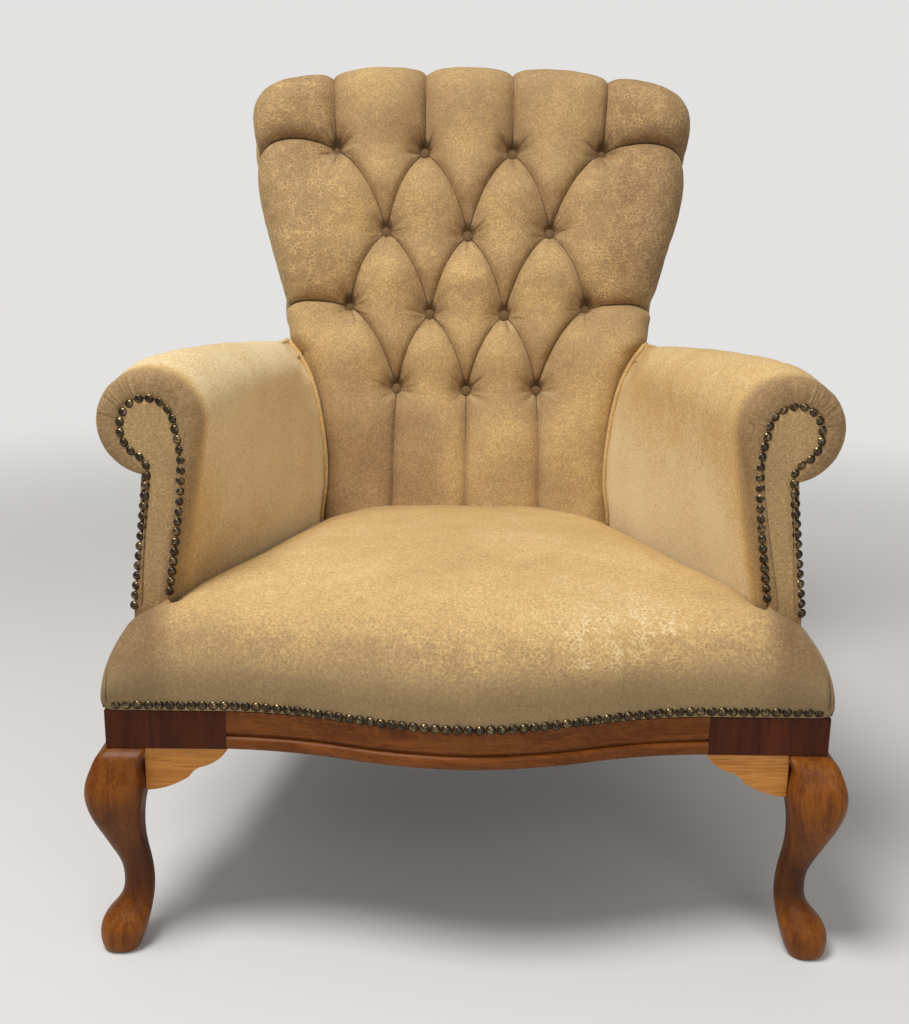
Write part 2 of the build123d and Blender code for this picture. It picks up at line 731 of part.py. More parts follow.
def outside_arm_panel():
    """Covered panel on the outside of the arm, from the rail up to the scroll."""
    sections = []
    bottom = LEG_HEIGHT + PANEL_HEM
    for station in (moved_station(SCROLL_STATIONS[0], FACING_THICKNESS), *arm_place_stations()[1:]):
        y = ARM_FRONT + station[0]
        top = scroll_neck(station, 0)[1] - SOFT_GAP * 2
        low, high = side_x(y, bottom), side_x(y, top)
        points = [(low, bottom), (high, top), (high - PANEL_THICKNESS, top)]
        points += [(low - PANEL_THICKNESS, bottom)]
        sections.append(polygon(points, across(y)))
    return in_front_of(loft(sections, ruled=True), -POST_THICKNESS)


def seat_section(x, heights, inset, bottom):
    """Upright slice of the seat along the chair: nose, crown and back end."""
    crown, nose, end = (RAIL_TOP + SEAT_CROWN * share - inset for share in heights)
    wing = max(0, abs(x) - (SEAT_HALF_WIDTH - WING_ROUND - inset)) / WING_ROUND
    front = -bow(x) + WING_ROUND * wing * wing + inset
    if abs(x) <= ARM_INNER_REAR:
        back = SEAT_REAR - inset
    elif abs(x) < ARM_INNER_FRONT:
        back = inner_y(abs(x)) - SOFT_GAP * 12 - inset
    else:
        back = WING_BACK - inset
    band = RAIL_TOP + NAIL_BAND
    knee_z = band + (nose - band) * 0.4
    shoulder_y = front + min(NOSE_DEPTH, (back - front) * 0.7)
    bend = (front + (shoulder_y - front) * 0.25, knee_z + (nose - knee_z) * 0.72)
    peak = ((shoulder_y + back) / 2, crown)
    moves = [
        ((front, band),),
        ((front - SEAT_BULGE, (band + knee_z) / 2), (front - SEAT_BULGE / 2, knee_z)),
        (bend, (shoulder_y, nose)),
        (peak, (back, end)),
        ((back, bottom),),
        ((front, bottom),),
    ]
    return face((front, bottom), moves, beside(x))


def seat_form(inset, bottom):
    """The stuffed seat: a crown between the arms and two wings in front of them."""
    sections = []
    for across_share, crown, nose, end in SEAT_SHARES:
        x = SEAT_HALF_WIDTH * across_share
        x = min(x, SEAT_HALF_WIDTH - inset)
        sections.append((x, (crown, nose, end)))
    places = [ARM_INNER_REAR - SOFT_GAP * 2, ARM_INNER_FRONT]
    stations = [(places[0] if abs(x - places[0]) < SEAT_BULGE else x, h) for x, h in sections]
    stations = [(places[1] if abs(x - places[1]) < SEAT_BULGE else x, h) for x, h in stations]
    middle = [s for s in stations if s[0] <= places[0]]
    beside_arm = [s for s in stations if places[0] <= s[0] <= ARM_INNER_FRONT]
    wing = [s for s in stations if s[0] >= ARM_INNER_FRONT]
    centre = [(-x, h) for x, h in reversed(middle[1:])] + middle
    body = loft([seat_section(x, h, inset, bottom) for x, h in centre])
    for group in (beside_arm, wing):
        right = loft([seat_section(x, h, inset, bottom) for x, h in group], ruled=True)
        body = body + right + mirrored(right)
    return body


def seat_cover():
    skin = seat_form(0, RAIL_TOP + SEAT_GAP) - seat_form(COVER_THICKNESS, RAIL_TOP - OVERRUN)
    room_top = springs_top() + HESSIAN + SEAT_GAP * 2
    room = block(
        -FRONT_HALF_WIDTH, FRONT_HALF_WIDTH, WING_BACK + SEAT_GAP, SEAT_REAR + OVERRUN,
        RAIL_TOP, room_top,
    )
    return skin - room


def springs_top():
    """Level of the tops of the clips, which stand a little above the wire."""
    return RAIL_TOP + SPRING_WIRE * 2 + SEAT_GAP * 3 + CLIP_THICKNESS


def seat_padding():
    bottom = springs_top() + HESSIAN + SEAT_GAP * 2
    return seat_form(COVER_THICKNESS + SEAT_GAP * 2, bottom)


def seat_hessian():
    """Cloth over the springs, from rail to rail."""
    z = springs_top() + SEAT_GAP
    front = INNER_RAIL_BACK - INNER_RAIL_THICKNESS / 2
    back = SEAT_REAR - COVER_THICKNESS * 2
    half_front = ARM_INNER_FRONT - ARM_PADDING * 2
    half_back = ARM_INNER_REAR - COVER_THICKNESS * 2
    points = [(half_front, front), (half_back, back), (-half_back, back), (-half_front, front)]
    return extrude(polygon(points, level(z)), HESSIAN, dir=(0, 0, 1))


def spring_places():
    span = ARM_INNER_REAR * 1.9
    pitch = span / SPRING_COUNT
    return [pitch * (i + 0.5) - span / 2 for i in range(SPRING_COUNT)]


def spring_ends():
    front = INNER_RAIL_BACK - INNER_RAIL_THICKNESS / 3
    back = raked_y(RAIL_TOP, -BACK_RAIL_THICKNESS / 2)
    return front, back


def zigzag_spring(x):
    """One flat spring: cross runs joined by half-round turns."""
    front, back = spring_ends()
    radius = (back - front) / (SPRING_TURNS * 2)
    half = SPRING_HALF_WIDTH - radius
    z = RAIL_TOP + SEAT_GAP + SPRING_WIRE
    side = 1
    edges = []
    for turn in range(SPRING_TURNS):
        y = front + radius * 2 * turn
        a = (x + side * half, y, z)
        edges.append(Line((x - side * half, y, z), a))
        tip = (x + side * (half + radius), y + radius, z)
        b = (x + side * half, y + radius * 2, z)
        edges.append(ThreePointArc(a, tip, b))
        side = -side
    last = (x + side * half, back, z)
    edges.append(Line((x - side * half, back, z), last))
    path = Wire(edges)
    section = Plane(origin=path @ 0, z_dir=path % 0) * Circle(SPRING_WIRE)
    return sweep(section, path=path)


def spring_clips():
    """A bent clip over each end of each spring, down to the rail behind the wire."""
    clips = []
    top = springs_top() - SEAT_GAP / 3
    under = top - CLIP_THICKNESS
    for x in spring_places():
        x0, x1 = x - CLIP_WIDTH / 2, x + CLIP_WIDTH / 2
        for y, away in zip(spring_ends(), (-1, 1)):
            near = y + away * (SPRING_WIRE + SEAT_GAP)
            far = y + away * CLIP_DEPTH / 2
            start = y - away * SPRING_WIRE
            plate = block(x0, x1, min(start, far), max(start, far), under, top)
            heel = block(x0, x1, min(near, far), max(near, far), RAIL_TOP, under)
            clips.append(plate + heel)
    return clips


def dust_cover():
    """Thin cloth under the frame, cut round the legs."""
    z = LEG_HEIGHT - SEAT_GAP - DUST_COVER
    front = FRONT_RAIL_THICKNESS
    back = raked_y(LEG_HEIGHT, -BACK_RAIL_THICKNESS)
    half_front = BLOCK_INNER + SEAT_GAP
    side_front = rail_outer_x(BLOCK_DEPTH) - PANEL_HEM
    side_back = rail_outer_x(back) - PANEL_HEM
    leg_front = raked_y(LEG_HEIGHT, 0) - SEAT_GAP * 4 - PANEL_HEM
    leg_inner = POST_LOW_INNER - SEAT_GAP
    half = [
        (half_front - EAR_SETBACK, front), (half_front - EAR_SETBACK, BLOCK_DEPTH + EAR_LENGTH / 2),
        (side_front - EAR_THICKNESS * 2, BLOCK_DEPTH + EAR_LENGTH / 2),
        (side_back - EAR_THICKNESS / 2, leg_front), (leg_inner, leg_front), (leg_inner, back),
    ]
    points = half + [(-x, y) for x, y in reversed(half)]
    return extrude(polygon(points, level(z)), DUST_COVER, dir=(0, 0, 1))


def back_point(shares):
    return BACK_HALF_WIDTH * shares[0], BACK_HEIGHT * shares[1]


def buttons_by_row():
    rows = []
    for height, places in zip(ROW_SHARES, BUTTON_SHARES):
        rows.append([back_point((place, height)) for place in places])
    return rows


def pleat(a, b):
    """Arc of a pleat between two buttons, eased towards the lower one."""
    upper, lower = (a, b) if a[1] > b[1] else (b, a)
    x = upper[0] + (lower[0] - upper[0]) * PLEAT_EASE_SHARE
    return (x, (a[1] + b[1]) / 2), b


# Right half of the back's outline above the arms, and where the side pleats end
UPPER_PLEAT_SHARES = ((0.784, 0.817), (0.978, 0.773))
LOWER_PLEAT_SHARES = ((0.68, 0.448), (0.821, 0.439))
SHOULDER_SHARES = ((1.0, 0.87), (0.94, 0.9375), (0.82, 0.973))
WAIST_SHARES = (0.908, 0.594)
CREST_LOBE_SHARES = ((0.415, 1.008), (0.0, 1.01))
ARM_NOTCH_SHARES = ((0.796, 0.377), (0.70, 0.345), (0.645, 0.28))


def outline_points():
    """Named places on the right edge of the back, from the seat up to the crest."""
    foot = (ARM_INNER_REAR - SOFT_GAP * 2, -BACK_FOOT)
    knee = (ARM_INNER_REAR - SOFT_GAP * 2, POST_WAIST_S)
    notch = [back_point(s) for s in reversed(ARM_NOTCH_SHARES)]
    lower = back_point(LOWER_PLEAT_SHARES[1])
    waist = back_point(WAIST_SHARES)
    upper = back_point(UPPER_PLEAT_SHARES[1])
    shoulder = [back_point(s) for s in SHOULDER_SHARES]
    seams = [back_point(s) for s in CREST_SEAM_SHARES]
    return foot, knee, notch, lower, waist, upper, shoulder, seams


def right_edge_moves(start_low):
    """Moves up the right edge and over the crest to the middle."""
    foot, knee, notch, lower, waist, upper, shoulder, seams = outline_points()
    moves = [] if start_low is None else [(p,) for p in (knee, *notch, lower)]
    moves += [(waist, upper), (shoulder[0], shoulder[1]), (shoulder[2], seams[0])]
    moves += [(seams[1],)]
    return moves


def mirrored_moves(start, moves):
    """The same moves on the left side, run backwards."""
    flip = lambda p: (-p[0], p[1])
    ends = [start] + [m[-1] for m in moves]
    back = []
    for i in range(len(moves) - 1, -1, -1):
        target = flip(ends[i])
        back.append((flip(moves[i][0]), target) if len(moves[i]) == 2 else (target,))
    return back


def back_outline(low):
    """Whole outline of the back on the raked plane, from the seat or from the rim up."""
    foot, _, _, lower, *_ = outline_points()
    start = foot if low else (lower[0] - POST_THICKNESS * 0.3, RIM_START)
    moves = [] if low else [(lower,)]
    moves += right_edge_moves(True if low else None)
    first = start
    seam = moves[-1][-1]
    left = mirrored_moves(first, moves)
    moves = moves + [((-seam[0], seam[1]),)] + left + [(first,)]
    return face(first, moves, level(0))


def shrunk(point, centre, share):
    return tuple(c + (p - c) * share for p, c in zip(point, centre))


def pillow(start, moves):
    """One stuffed pillow between its pleats, as a loft of its own outline drawn in."""
    ends = [m[-1] for m in moves]
    centre = (sum(p[0] for p in ends) / len(ends), sum(p[1] for p in ends) / len(ends))
    sections = []
    for share, rise in PILLOW_SHARES:
        n = PILLOW_VALLEY + (PILLOW_TOP - PILLOW_VALLEY) * rise
        small = [tuple(shrunk(p, centre, share) for p in move) for move in moves]
        sections.append(face(shrunk(start, centre, share), small, level(n)))
    top = loft(sections)
    foot = extrude(sections[0], -SEAT_GAP * 2, dir=(0, 0, 1))
    return top + foot


def diamond(top, left, bottom, right):
    moves = [pleat(top, left), pleat(left, bottom), pleat(bottom, right), pleat(right, top)]
    return pillow(top, moves)


def right_pillows():
    """Pillows right of the middle, from the crest down to the seat."""
    r1, r2, r3, r4 = buttons_by_row()
    foot, knee, notch, lower, waist, upper, shoulder, seams = outline_points()
    upper_mid = back_point(UPPER_PLEAT_SHARES[0])
    lower_mid = back_point(LOWER_PLEAT_SHARES[0])
    out1, in1, out2, out3, in3, out4 = r1[3], r1[2], r2[2], r3[3], r3[2], r4[2]
    seat_seam = (out4[0], -BACK_FOOT)
    corner = [
        (upper_mid, upper), (shoulder[0], shoulder[1]), (shoulder[2], seams[0]), (out1,),
    ]
    crest_lobe = back_point(CREST_LOBE_SHARES[0])
    crest = [
        pleat(out1, out2), pleat(out2, in1), (seams[1],), (crest_lobe, seams[0]), (out1,),
    ]
    side = [
        pleat(out1, out2), pleat(out2, out3), (lower_mid, lower), (waist, upper),
        (upper_mid, out1),
    ]
    bottom_side = [
        pleat(out3, out4), (seat_seam,), (foot,), (knee,), (notch[0],), (notch[1],),
        (notch[2],), (lower,), (lower_mid, out3),
    ]
    bottom_middle = [
        pleat(out4, in3), pleat(in3, r4[1]), ((0, -BACK_FOOT),), (seat_seam,), (out4,),
    ]
    pillows = [
        pillow(out1, corner),
        pillow(out1, crest),
        pillow(out1, side),
        pillow(out3, bottom_side),
        pillow(out4, bottom_middle),
        diamond(in1, r2[1], in3, out2),
        diamond(out2, in3, out4, out3),
    ]
    return pillows


def middle_pillows():
    r1, r2, r3, r4 = buttons_by_row()
    right = back_point(CREST_SEAM_SHARES[1])
    left = (-right[0], right[1])
    lobe = back_point(CREST_LOBE_SHARES[1])
    crest = [pleat(r1[1], r2[1]), pleat(r2[1], r1[2]), (right,), (lobe, left), (r1[1],)]
    return [pillow(r1[1], crest), diamond(r2[1], r3[1], r4[1], r3[2])]


def button_places():
    return [place for row in buttons_by_row() for place in row]


def buttoned_form():
    """Cover sewn into stuffed pillows, with a rim that wraps round the posts."""
    depth = PILLOW_VALLEY - PADDING_BASE
    form = Pos(0, 0, PADDING_BASE) * extrude(back_outline(True), depth, dir=(0, 0, 1))
    rim = extrude(back_outline(False), PADDING_BASE * 2 + POST_THICKNESS, dir=(0, 0, 1))
    form = form + Pos(0, 0, -POST_THICKNESS) * rim
    for body in middle_pillows():
        form = form + body
    for body in right_pillows():
        form = form + body + mirrored(body)
    for x, s in button_places():
        floor = PILLOW_VALLEY - BUTTON_DEPTH
        height = PILLOW_TOP - floor
        pit = Cone(BUTTON_POCKET, BUTTON_POCKET * 2, height)
        form = form - Pos(x, s, floor + height / 2) * pit
    return form


def arm_clearance():
    """The arm's rear length grown by the gap that the back keeps from it."""
    last = SCROLL_STATIONS[-1]
    far = BACK_FOOT_Y + BACK_HEIGHT / 4 - ARM_FRONT
    ends = [arm_outline(moved_station(last, back), -SOFT_GAP, 0) for back in (last[0], far)]
    return loft(ends, ruled=True)


def seat_clearance():
    """Room that the seat's rear end takes in front of the back's foot."""
    return block(
        -SEAT_HALF_WIDTH, SEAT_HALF_WIDTH, 0, SEAT_REAR + SOFT_GAP, 0, RAIL_TOP + SEAT_CROWN
    )


def rim_opening():
    """Space behind the padding that the posts and the crest rail stand in."""
    depth = PADDING_BASE + POST_THICKNESS + OVERRUN
    hole = extrude(offset(back_outline(False), -RIM_PADDING), depth, dir=(0, 0, 1))
    foot = POST_WAIST_OUTER + (RIM_START - POST_FLARE_S) * 0.35 + SOFT_GAP
    mouth = block(-foot, foot, RIM_START - OVERRUN, RIM_START + RIM_PADDING * 2, 0, depth)
    return on_back(Pos(0, 0, PADDING_BASE - depth) * (hole + mouth))


def padding_block(skin):
    """Plain block of stuffing under the pillows, with its side strips beside the posts."""
    depth = PILLOW_VALLEY - BUTTON_DEPTH - COVER_THICKNESS - skin - PADDING_BASE
    body = extrude(offset(back_outline(True), -COVER_THICKNESS - skin), depth, dir=(0, 0, 1))
    return on_back(Pos(0, 0, PADDING_BASE) * body)


def back_cover_and_padding():
    arm = arm_clearance()
    room = arm + mirrored(arm) + seat_clearance()
    cover = on_back(buttoned_form()) - padding_block(0) - rim_opening() - room
    padding = padding_block(SEAT_GAP) - room
    return cover, padding


def back_buttons():
    buttons = []
    for x, s in button_places():
        floor = PILLOW_VALLEY - BUTTON_DEPTH + SEAT_GAP
        middle = floor + BUTTON_THICKNESS / 2
        body = Cylinder(BUTTON_RADIUS, BUTTON_THICKNESS)
        body = fillet(body.edges().group_by(Axis.Z)[-1], BUTTON_THICKNESS * 0.45)
        buttons.append(on_back(Pos(x, s, middle) * body))
    return buttons


def back_webbing():
    """Straps across and up the inside of the back frame, in two layers."""
    straps = []
    low = LOWER_RAIL_S
    high = POST_TOP_S + CREST_RAIL_HEIGHT / 2
    count = WEB_COUNT
    reach = POST_WAIST_INNER - WEB_WIDTH / 2
    for i in range(count):
        s = POST_WAIST_S + (POST_TOP_S - POST_WAIST_S) * (i + 0.5) / count
        flare = max(0, s - POST_FLARE_S) / (POST_TOP_S - POST_FLARE_S)
        half = POST_WAIST_INNER + (POST_TOP_INNER - POST_WAIST_INNER) * flare + RIM_PADDING
        points = [(-half, s), (half, s), (half, s + WEB_WIDTH), (-half, s + WEB_WIDTH)]
        straps.append(back_slab(points, 0, WEB_THICKNESS))
    for i in range(count):
        x = reach * (2 * (i + 0.5) / count - 1) - WEB_WIDTH / 2
        points = [(x, low), (x + WEB_WIDTH, low), (x + WEB_WIDTH, high), (x, high)]
        straps.append(back_slab(points, WEB_THICKNESS, PADDING_BASE - SEAT_GAP))
    return straps


def outside_back():
    """Covered panel over the rear of the back, the posts and the arms' rear ends."""
    n = -POST_THICKNESS - SEAT_GAP
    low_z = LEG_HEIGHT + PANEL_HEM
    y = raked_y(low_z, n)
    high_z = SCROLL_STATIONS[-1][2] - SCROLL_STATIONS[-1][3]
    high_y = raked_y(high_z, n)
    corner = (side_x(y, low_z), raked_s(low_z, n))
    neck = (side_x(high_y, high_z), raked_s(high_z, n))
    _, x, z, radius = SCROLL_STATIONS[-1]
    tall = radius / cos(RAKE)
    middle_s = raked_s(z, n)
    turn = lambda a: (x + radius * cos(a), middle_s + tall * sin(a))
    _, _, _, lower, *_ = outline_points()
    moves = [
        (neck,),
        (turn(-pi / 8), turn(pi / 8)),
        (turn(pi * 0.3), (lower[0] - POST_THICKNESS * 0.2, middle_s + tall)),
        (lower,),
    ]
    moves += right_edge_moves(None)
    seam = moves[-1][-1]
    left = mirrored_moves(corner, moves)
    moves = moves + [((-seam[0], seam[1]),)] + left + [(corner,)]
    plate = extrude(face(corner, moves, level(n - OUTSIDE_BACK)), OUTSIDE_BACK, dir=(0, 0, 1))
    return on_back(plate)


def facing_line():
    """Line of nails round the right facing: outside of the stem, scroll, inside of the stem."""
    _, x, z, radius = SCROLL_STATIONS[0]
    bead = radius * 0.5
    foot = z - radius * 3.62
    turn = lambda a: (x + bead * cos(a), z + bead * sin(a))
    start = (x + radius * 0.42, foot)
    neck = (x + radius * 0.06, z - radius * 0.98)
    hip = (x + radius * 0.29, z - radius * 0.54)
    inner = (x - radius * 0.6, z - radius * 0.75)
    end = (x - radius * 0.25, foot + radius * 0.3)
    moves = [
        ((x + radius * 0.25, (foot + neck[1]) / 2 - radius * 0.1), neck),
        ((x + radius * 0.1, z - radius * 0.68), hip),
        (turn(0.02), turn(pi * 0.42)),
        (turn(pi * 0.72), turn(pi * 1.02)),
        ((x - radius * 0.58, z - radius * 0.4), inner),
        ((x - radius * 0.45, (inner[1] + end[1]) / 2), end),
    ]
    return start, moves


def line_edges(start, moves, place):
    edges = []
    here = start
    for move in moves:
        if len(move) == 2:
            edges.append(ThreePointArc(place(here), place(move[0]), place(move[1])))
        else:
            edges.append(Line(place(here), place(move[0])))
        here = move[-1]
    return edges


def arm_facing():
    """Covered facing inside and under the nails."""
    y = ARM_FRONT
    outline = arm_outline(moved_station(SCROLL_STATIONS[0], 0), FRONT_ROUND, RAIL_TOP + SEAT_GAP)
    return extrude(outline, FACING_THICKNESS, dir=(0, 1, 0))


def nail(place, direction):
    """Domed head, its flat underside at place."""
    ball = (NAIL_RADIUS ** 2 + NAIL_HEIGHT ** 2) / (2 * NAIL_HEIGHT)
    half = asin(NAIL_RADIUS / ball) / 2
    middle = (ball * sin(half), 0, NAIL_HEIGHT - ball + ball * cos(half))
    rim, top = (NAIL_RADIUS, 0, 0), (0, 0, NAIL_HEIGHT)
    edges = [Line((0, 0, 0), rim), ThreePointArc(rim, middle, top), Line(top, (0, 0, 0))]
    head = revolve(make_face(edges), Axis.Z)
    return Plane(origin=place, z_dir=direction).location * head


def along(edges, pitch):
    """Points at an even pitch along joined edges, with the direction there."""
    wire = Wire(edges)
    count = int(wire.length / pitch)
    return [(wire @ ((i + 0.5) / count), wire % ((i + 0.5) / count)) for i in range(count)]


def facing_nails():
    start, moves = facing_line()
    edges = line_edges(start, moves, across(ARM_FRONT - SEAT_GAP / 3))
    return [nail(point, (0, -1, 0)) for point, _ in along(edges, NAIL_PITCH)]


def rail_nails():
    """Nails along the seat's front edge, set out from the middle, where they sit lower."""
    nails = []
    x = 0
    while x < SEAT_HALF_WIDTH - WING_ROUND:
        slope = -FRONT_BOW * pi / BLOCK_INNER / 2 * sin(pi * min(x, BLOCK_INNER) / BLOCK_INNER)
        gap = hypot(1, slope)
        forward = Vector(-slope / gap, -1 / gap, 0)
        z = RAIL_TOP + NAIL_BAND / 2 - NAIL_DROP * bow(x) / FRONT_BOW
        place = Vector(x, -bow(x), z) + forward * SOFT_GAP
        nails.append(nail(place, forward))
        if x:
            nails.append(mirrored(nails[-1]))
        x += NAIL_PITCH / gap
    return nails


def arm_welt():
    """Covered cord that lies on the inside of the arm where it meets the back."""
    _, middle_x, middle_z, radius = SCROLL_STATIONS[-1]
    layer = PILLOW_TOP + WELT_RADIUS + SEAT_GAP
    low, high = (ARM_INNER_REAR, INNER_TOP), (middle_x - radius, middle_z)
    lean = hypot(high[0] - low[0], high[1] - low[1])
    off = WELT_RADIUS + SOFT_GAP
    away = (-(high[1] - low[1]) / lean * off, (high[0] - low[0]) / lean * off)
    ends = []
    for x, z in (low, high):
        ends.append((x + away[0], raked_y(z, layer), z + away[1]))
    path = Wire([Line(*ends)])
    section = Plane(origin=ends[0], z_dir=path % 0) * Circle(WELT_RADIUS)
    return sweep(section, path=path)


def pair(name, solid):
    return {name + "_right": [solid], name + "_left": [mirrored(solid)]}


def make_pieces():
    pins, holes = frame_dowels()
    leg = front_leg()
    post = rear_leg()
    cover, stuffing = arm_cover_and_padding()
    seat_springs = [zigzag_spring(x) for x in spring_places()]
    back_skin, back_stuffing = back_cover_and_padding()
    nails = facing_nails()
    pieces = {}
    pieces |= pair("front_leg", drilled(leg, holes))
    pieces |= pair("knee_block_front", front_ear(leg))
    pieces |= pair("knee_block_side", side_ear(leg))
    pieces |= pair("corner_block", drilled(corner_block(), holes))
    pieces |= pair("rear_leg_and_post", drilled(post, holes))
    pieces |= pair("side_rail", drilled(side_rail(), holes))
    pieces |= pair("arm_front_board", arm_board())
    pieces |= pair("arm_top_rail", arm_top_rail())
    pieces |= pair("arm_tacking_rail", arm_tacking_rail())
    pieces |= pair("arm_padding", stuffing)
    pieces |= pair("arm_cover", cover)
    pieces |= pair("arm_facing", arm_facing())
    pieces |= pair("outside_arm_panel", outside_arm_panel())
    pieces |= pair("arm_welt", arm_welt())
    pieces["facing_nails_right"] = nails
    pieces["facing_nails_left"] = [mirrored(n) for n in nails]
    pieces["front_rail"] = [front_rail()]
    pieces["inner_front_rail"] = [drilled(inner_front_rail(), holes)]
    pieces["back_rail"] = [back_rail()]
    pieces["back_crest_rail"] = [drilled(crest_rail(), holes)]
    pieces["back_lower_rail"] = [lower_back_rail()]
    pieces["corner_braces"] = corner_braces()
    pieces["frame_dowels"] = pins
    pieces["seat_springs"] = seat_springs
    pieces["spring_clips"] = spring_clips()
    pieces["seat_hessian"] = [seat_hessian()]
    pieces["seat_padding"] = [seat_padding()]
    pieces["seat_cover"] = [seat_cover()]
    pieces["dust_cover"] = [dust_cover()]
    pieces["rail_nails"] = rail_nails()
    pieces["back_webbing"] = back_webbing()
    pieces["back_padding"] = [back_stuffing]
    pieces["back_cover"] = [back_skin]
    pieces["back_buttons"] = back_buttons()
    pieces["outside_back"] = [outside_back()]
    return pieces


def footprint_shift(pieces):
    boxes = [solid.bounding_box() for solids in pieces.values() for solid in solids]
    near = min(box.min.Y for box in boxes)
    far = max(box.max.Y for box in boxes)
    return -(near + far) / 2


def write_parts():
    os.makedirs("parts", exist_ok=True)
    pieces = make_pieces()
    shift = footprint_shift(pieces)
    print(f"moved along Y by {shift:.4f}")
    for name, solids in pieces.items():
        moved = [Pos(0, shift, 0) * solid for base in solids for solid in base.solids()]
        shape = moved[0] if len(moved) == 1 else Compound(children=moved)
        export_step(shape, f"parts/{name}.step")


write_parts()
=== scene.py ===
"""Dresses the buttoned armchair: stuffed back, seat and arms, nails, show wood and a plain stage.

Shapes are worked out in the chair's own millimetres: X to the right as seen from the front,
Y back from the front face of the corner blocks, Z up from the floor. Along the raked back,
S runs up the back and N stands off it.
"""
from math import acos, atan2, cos, hypot, pi, radians, sin, sqrt

import bpy
import numpy as np
from mathutils import Matrix, Vector


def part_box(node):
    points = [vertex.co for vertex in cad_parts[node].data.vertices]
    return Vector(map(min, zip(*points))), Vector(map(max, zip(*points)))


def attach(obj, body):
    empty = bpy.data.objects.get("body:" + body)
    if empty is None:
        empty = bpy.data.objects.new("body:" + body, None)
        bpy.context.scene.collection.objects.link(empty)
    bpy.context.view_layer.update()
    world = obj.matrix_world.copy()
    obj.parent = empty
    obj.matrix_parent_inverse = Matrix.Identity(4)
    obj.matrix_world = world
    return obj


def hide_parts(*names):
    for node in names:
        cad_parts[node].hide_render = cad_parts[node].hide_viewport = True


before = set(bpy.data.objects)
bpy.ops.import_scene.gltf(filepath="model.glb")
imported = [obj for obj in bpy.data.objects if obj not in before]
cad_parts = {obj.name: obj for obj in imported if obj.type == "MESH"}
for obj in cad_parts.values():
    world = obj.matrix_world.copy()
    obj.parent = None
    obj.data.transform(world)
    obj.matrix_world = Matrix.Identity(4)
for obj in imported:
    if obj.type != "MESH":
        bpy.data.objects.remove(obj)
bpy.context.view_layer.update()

bl_info = {
    "name": "Buttoned Armchair",
    "version": (1, 0, 0),
    "blender": (4, 5, 0),
    "location": "View3D > Sidebar > Armchair",
    "description": "Upholsters and finishes a buttoned armchair on its packed frame",
    "category": "Object",
}

MM = 0.001
FRONT_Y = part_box("corner_block_right")[0].y
SIDES = {"right": 1, "left": -1}


# Points and meshes

def to_frame(points):
    """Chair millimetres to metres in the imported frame."""
    placed = np.asarray(points, float) * MM
    placed[..., 1] += FRONT_Y
    return placed


def deselect():
    bpy.ops.object.select_all(action="DESELECT")


def only(piece):
    deselect()
    piece.select_set(True)
    bpy.context.view_layer.objects.active = piece


def named(name):
    """Names the piece that was just made."""
    piece = bpy.context.active_object
    piece.name = name
    piece.data.name = name
    return piece


def set_points(piece, points):
    mesh = piece.data
    mesh.vertices.foreach_set("co", np.ascontiguousarray(points, np.float32).ravel())
    mesh.update()


def get_points(piece):
    mesh = piece.data
    flat = np.empty(len(mesh.vertices) * 3, np.float32)
    mesh.vertices.foreach_get("co", flat)
    return flat.reshape(-1, 3).astype(float)


def set_value(piece, name, values):
    """A number for every point, or one number for them all, for the finish to read."""
    layer = piece.data.attributes.new(name, "FLOAT", "POINT")
    flat = np.ravel(values) if np.ndim(values) else np.full(len(piece.data.vertices), values)
    layer.data.foreach_set("value", flat.astype(np.float32))


def laid_grid(name, net, values=None):
    """A primitive grid whose points are moved to net[row, column], in chair millimetres."""
    rows, columns = net.shape[:2]
    bpy.ops.object.select_all(action="DESELECT")
    bpy.ops.mesh.primitive_grid_add(x_subdivisions=columns - 1, y_subdivisions=rows - 1, size=1)
    piece = named(name)
    flat = get_points(piece)
    column = np.rint((flat[:, 0] + 0.5) * (columns - 1)).astype(int)
    row = np.rint((flat[:, 1] + 0.5) * (rows - 1)).astype(int)
    set_points(piece, to_frame(net[row, column]))
    for key, layer in (values or {}).items():
        set_value(piece, key, layer[row, column])
    return piece


def edit(piece):
    """Edit mode, with every point selected."""
    only(piece)
    bpy.ops.object.mode_set(mode="EDIT")
    bpy.ops.mesh.select_mode(type="VERT")
    bpy.ops.mesh.select_all(action="SELECT")


def done():
    bpy.ops.object.mode_set(mode="OBJECT")


def close_up(piece, merge=0.00002):
    """Merges doubles, closes the open ends and turns the faces outwards."""
    edit(piece)
    bpy.ops.mesh.remove_doubles(threshold=merge)
    bpy.ops.mesh.select_all(action="DESELECT")
    bpy.ops.mesh.select_non_manifold(extend=False)
    bpy.ops.mesh.fill_holes(sides=0)
    bpy.ops.mesh.select_all(action="SELECT")
    bpy.ops.mesh.normals_make_consistent(inside=False)
    done()
    bpy.ops.object.shade_smooth()


def modified(piece, kind, **settings):
    only(piece)
    modifier = piece.modifiers.new(kind.title(), kind)
    for key, value in settings.items():
        setattr(modifier, key, value)
    bpy.ops.object.modifier_apply(modifier=modifier.name)


def solid_copy(node, name):
    """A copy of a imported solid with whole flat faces."""
    only(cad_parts[node])
    bpy.ops.object.duplicate()
    piece = named(name)
    edit(piece)
    bpy.ops.mesh.remove_doubles(threshold=0.00001)
    bpy.ops.mesh.dissolve_limited(angle_limit=radians(1))
    done()
    return piece


def soften(piece, width, segments):
    """Rounds the sharp edges and smooths the faces between them."""
    modified(piece, "BEVEL", width=width, segments=segments, limit_method="ANGLE",
             angle_limit=radians(50))
    bpy.ops.object.shade_smooth_by_angle(angle=radians(40))

